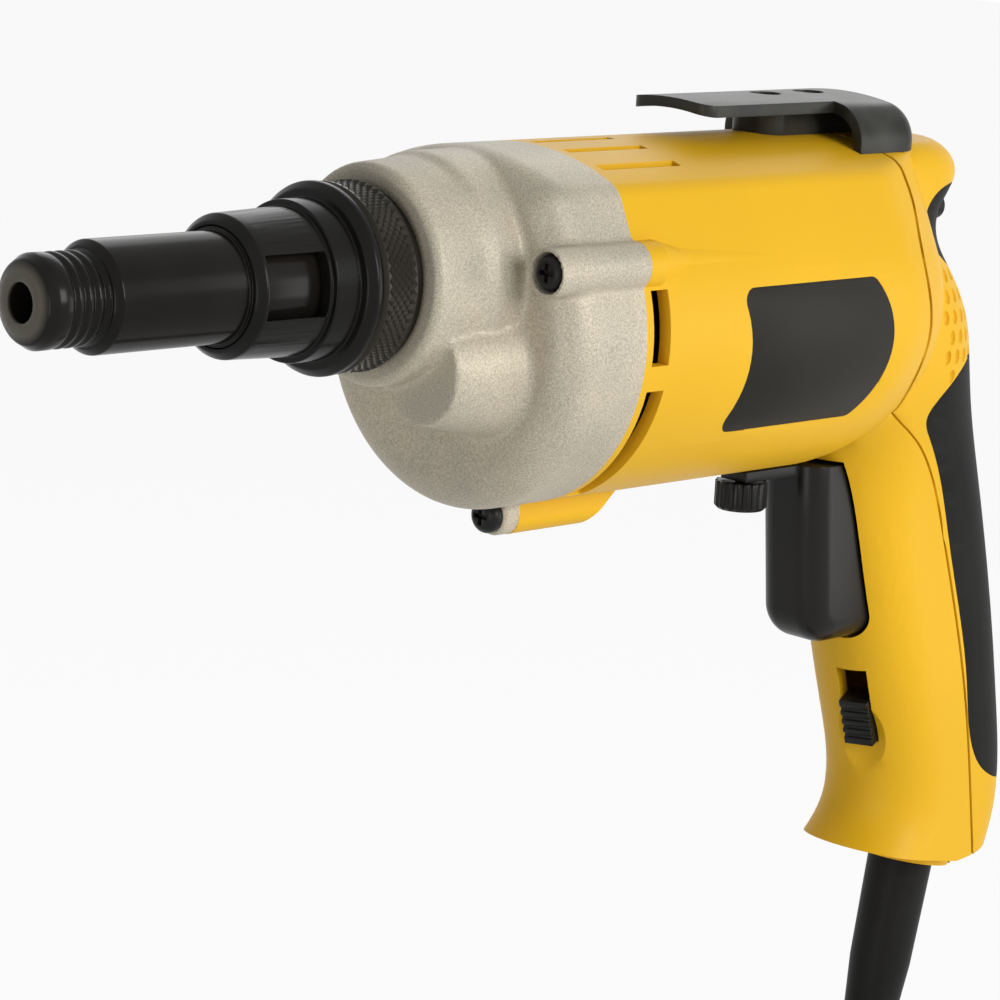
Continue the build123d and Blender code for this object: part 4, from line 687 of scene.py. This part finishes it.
def crease_points(piece):
    """Points along the hollow crease on the outside, where the handle leaves the barrel."""
    beside = {}
    for face in piece.data.polygons:
        if all(blend_from[axis] < face.center[axis] < blend_to[axis] for axis in (0, 2)):
            for edge in face.edge_keys:
                beside.setdefault(edge, []).append(face)
    points = []
    for edge, faces in beside.items():
        if len(faces) != 2 or faces[0].normal.angle(faces[1].normal, 0.0) < radians(crease_turn):
            continue
        if (faces[1].center - faces[0].center).dot(faces[0].normal) < 0.0:
            continue
        outward = (faces[0].normal + faces[1].normal).normalized()
        first, second = (piece.data.vertices[number].co for number in edge)
        blocked, _, _, _ = piece.ray_cast((first + second) / 2 + outward * ray_start, outward)
        if not blocked and abs(first.y) > opening_half:
            points += [first, second]
    return points


housing = cad_copy("motor_housing", "motor_housing_moulding")
cut_across(housing, along_barrel, blend_from.x, blend_to.x)
cut_across(housing, upwards, blend_from.z, blend_to.z)
crease = crease_points(housing)
crease_finder = KDTree(len(crease))
for number, point in enumerate(crease):
    crease_finder.insert(point, number)
crease_finder.balance()
blend = housing.vertex_groups.new(name="blend")
for point in housing.data.vertices:
    _, _, distance = crease_finder.find(point.co)
    if distance < blend_reach:
        _, seam, _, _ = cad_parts["handle_cover"].closest_point_on_mesh(point.co)
        near_crease = clamped(1.0 + blend_core - distance / blend_reach)
        off_seam = clamped((seam - point.co).length / blend_edge)
        off_opening = clamped((abs(point.co.y) - opening_half) / blend_edge)
        blend.add([point.index], near_crease * off_seam * off_opening, "REPLACE")
let_flow(housing, blend_rounds, group="blend")
housing.vertex_groups.clear()
shade_smooth(housing)
place_piece(housing, "body", "housing_yellow", yellow_moulding, "motor_housing")


# Handle cover: the rear shell of the same moulding, screwed on from behind. The outer line of its seam is
# drawn back to a fine groove. Rows of small oval dents, cut into both flanks, give the hump under the thumb
# its grip.
seam_gap = 0.9 * mm
seam_reach = 0.05 * mm
hump_height = 82.0 * mm
crown_half = 12.0 * mm
dent_rows = 6
dent_columns = 4
dent_pitch = Vector((4.0 * mm, 0.0, 4.8 * mm))
dent_first = Vector((28.5 * mm, 0.0, 88.0 * mm))
dent_stagger = 0.5
dent_lean = 0.8 * mm
dent_half = Vector((1.25 * mm, 1.3 * mm, 1.8 * mm))
dent_sink = 1.0 * mm
flank_clear = 0.1
flank_slope = 0.25


def on_outer_seam(point):
    """Whether a point of the cover touches the housing with nothing of the cover outside it."""
    _, nearest, _, _ = housing.closest_point_on_mesh(point.co)
    on_top = abs(point.co.y) < crown_half and point.co.z > hump_height
    outward = upwards if on_top else Vector((0.0, copysign(1.0, point.co.y), 0.0))
    start = point.co + outward * seam_gap - along_barrel * (seam_gap / 2)
    covered, _, _, _ = cover.ray_cast(start, outward)
    return (nearest - point.co).length < seam_reach and not covered


def make_dent(x, z, side):
    """Oval cutter for one dent, set into the flank on a side, or nothing where the flank turns away."""
    found, spot, outward, _ = cover.ray_cast((x, side * flank_clear, z), (0.0, -side, 0.0))
    if not found or abs(outward.y) < flank_slope:
        return []
    deselect()
    middle = spot + outward * (dent_half.y - dent_sink)
    turn = outward.to_track_quat("Y", "Z").to_euler()
    bpy.ops.mesh.primitive_uv_sphere_add(segments=20, ring_count=12, radius=1.0, location=middle,
                                         rotation=turn, scale=dent_half)
    return [bpy.context.object]


cover = cad_copy("handle_cover", "handle_cover_moulding")
pick_points(cover, on_outer_seam)
bpy.ops.transform.translate(value=(-seam_gap, 0.0, 0.0))
bpy.ops.object.mode_set(mode="OBJECT")
dents = []
for side in (-1, 1):
    for row in range(dent_rows):
        for column in range(dent_columns):
            x = dent_first.x - (column + dent_stagger * (row % 2)) * dent_pitch.x - row * dent_lean
            z = dent_first.z - row * dent_pitch.z
            dents += make_dent(x, z, side)
take(dents[0])
for dent in dents:
    dent.select_set(True)
bpy.ops.object.join()
bpy.ops.object.transform_apply(location=True, rotation=True, scale=True)
dent_cutter = bpy.context.object
cut = cover.modifiers.new("dents", "BOOLEAN")
cut.operation = "DIFFERENCE"
cut.solver = "EXACT"
cut.object = dent_cutter
apply_all(cover)
bpy.data.objects.remove(dent_cutter)
shade_smooth(cover)
place_piece(cover, "body", "housing_yellow", yellow_moulding, "handle_cover")


# Rubber skins: a soft black grip down the back of the handle and a small pad in the web of the hand, moulded
# onto the cover so that they lie flush with it.
soft_rubber = finish_of(
    "soft_rubber", colour=(0.010, 0.0095, 0.009), cloudy=(0.014, 0.0135, 0.0128), roughness=(0.5, 0.62),
    gloss=0.1, grain=1900.0, bump=0.3,
)
for name in ("grip_rubber", "web_rubber"):
    rubber = cad_copy(name, name + "_skin", edge=0.3 * mm)
    place_piece(rubber, "body", "grip_black", soft_rubber, name)


# Label plates: thin dark plates of satin film, let into both flanks of the housing.
# They are left bare.
label_film = finish_of(
    "label_film", colour=(0.017, 0.0155, 0.012), cloudy=(0.021, 0.019, 0.015), roughness=(0.4, 0.48),
    gloss=0.12, grain=2600.0, bump=0.05,
)
for side in ("left", "right"):
    label = cad_copy("label_plate_" + side, "label_plate_film_" + side, edge=0.15 * mm)
    place_piece(label, "body", "label_grey", label_film, "label_plate_" + side)


# Trigger, speed knob and reverse slider: satin black mouldings. The trigger slides in, the fluted knob on it
# turns to set the speed, and the ribbed slider is thumbed up to reverse.
control_black = finish_of(
    "control_black", colour=(0.008, 0.0076, 0.0068), cloudy=(0.012, 0.0113, 0.010), roughness=(0.24, 0.34),
    gloss=0.17, grain=2200.0, bump=0.12,
)
trigger = cad_copy("trigger", "trigger_moulding", edge=0.5 * mm, rounds=3, clamp=True)
place_piece(trigger, "trigger_group", "control_black", control_black, "trigger")
knob = cad_copy("speed_knob", "speed_knob_moulding", edge=0.2 * mm, clamp=True)
place_piece(knob, "knob", "control_black", control_black, "speed_knob")
slider = cad_copy("reverse_slider", "reverse_slider_moulding", edge=0.3 * mm, clamp=True)
place_piece(slider, "slider", "control_black", control_black, "reverse_slider")
dress(control_black, "switch_body", "cord_clamp")


# Belt hook: an arched steel pressing, painted black, with lighter patches that are partly wear from handling
# and partly a painted sheen. It is held to the housing's top by two screws through its pad.
hook_paint_and_sheen = finish_of(
    "hook_paint_and_sheen", colour=(0.016, 0.016, 0.013), cloudy=(0.04, 0.04, 0.033), roughness=(0.3, 0.42),
    gloss=0.18, grain=1500.0, cloud=90.0, bump=0.12,
)
hook = cad_copy("belt_hook", "belt_hook_pressing", edge=0.5 * mm, rounds=3, clamp=True)
place_piece(hook, "body", "hook_black", hook_paint_and_sheen, "belt_hook")
hook_screws = cad_copy("hook_screws", "hook_screw_set")
place_piece(hook_screws, "body", "screw_black", screw_black, "hook_screws")
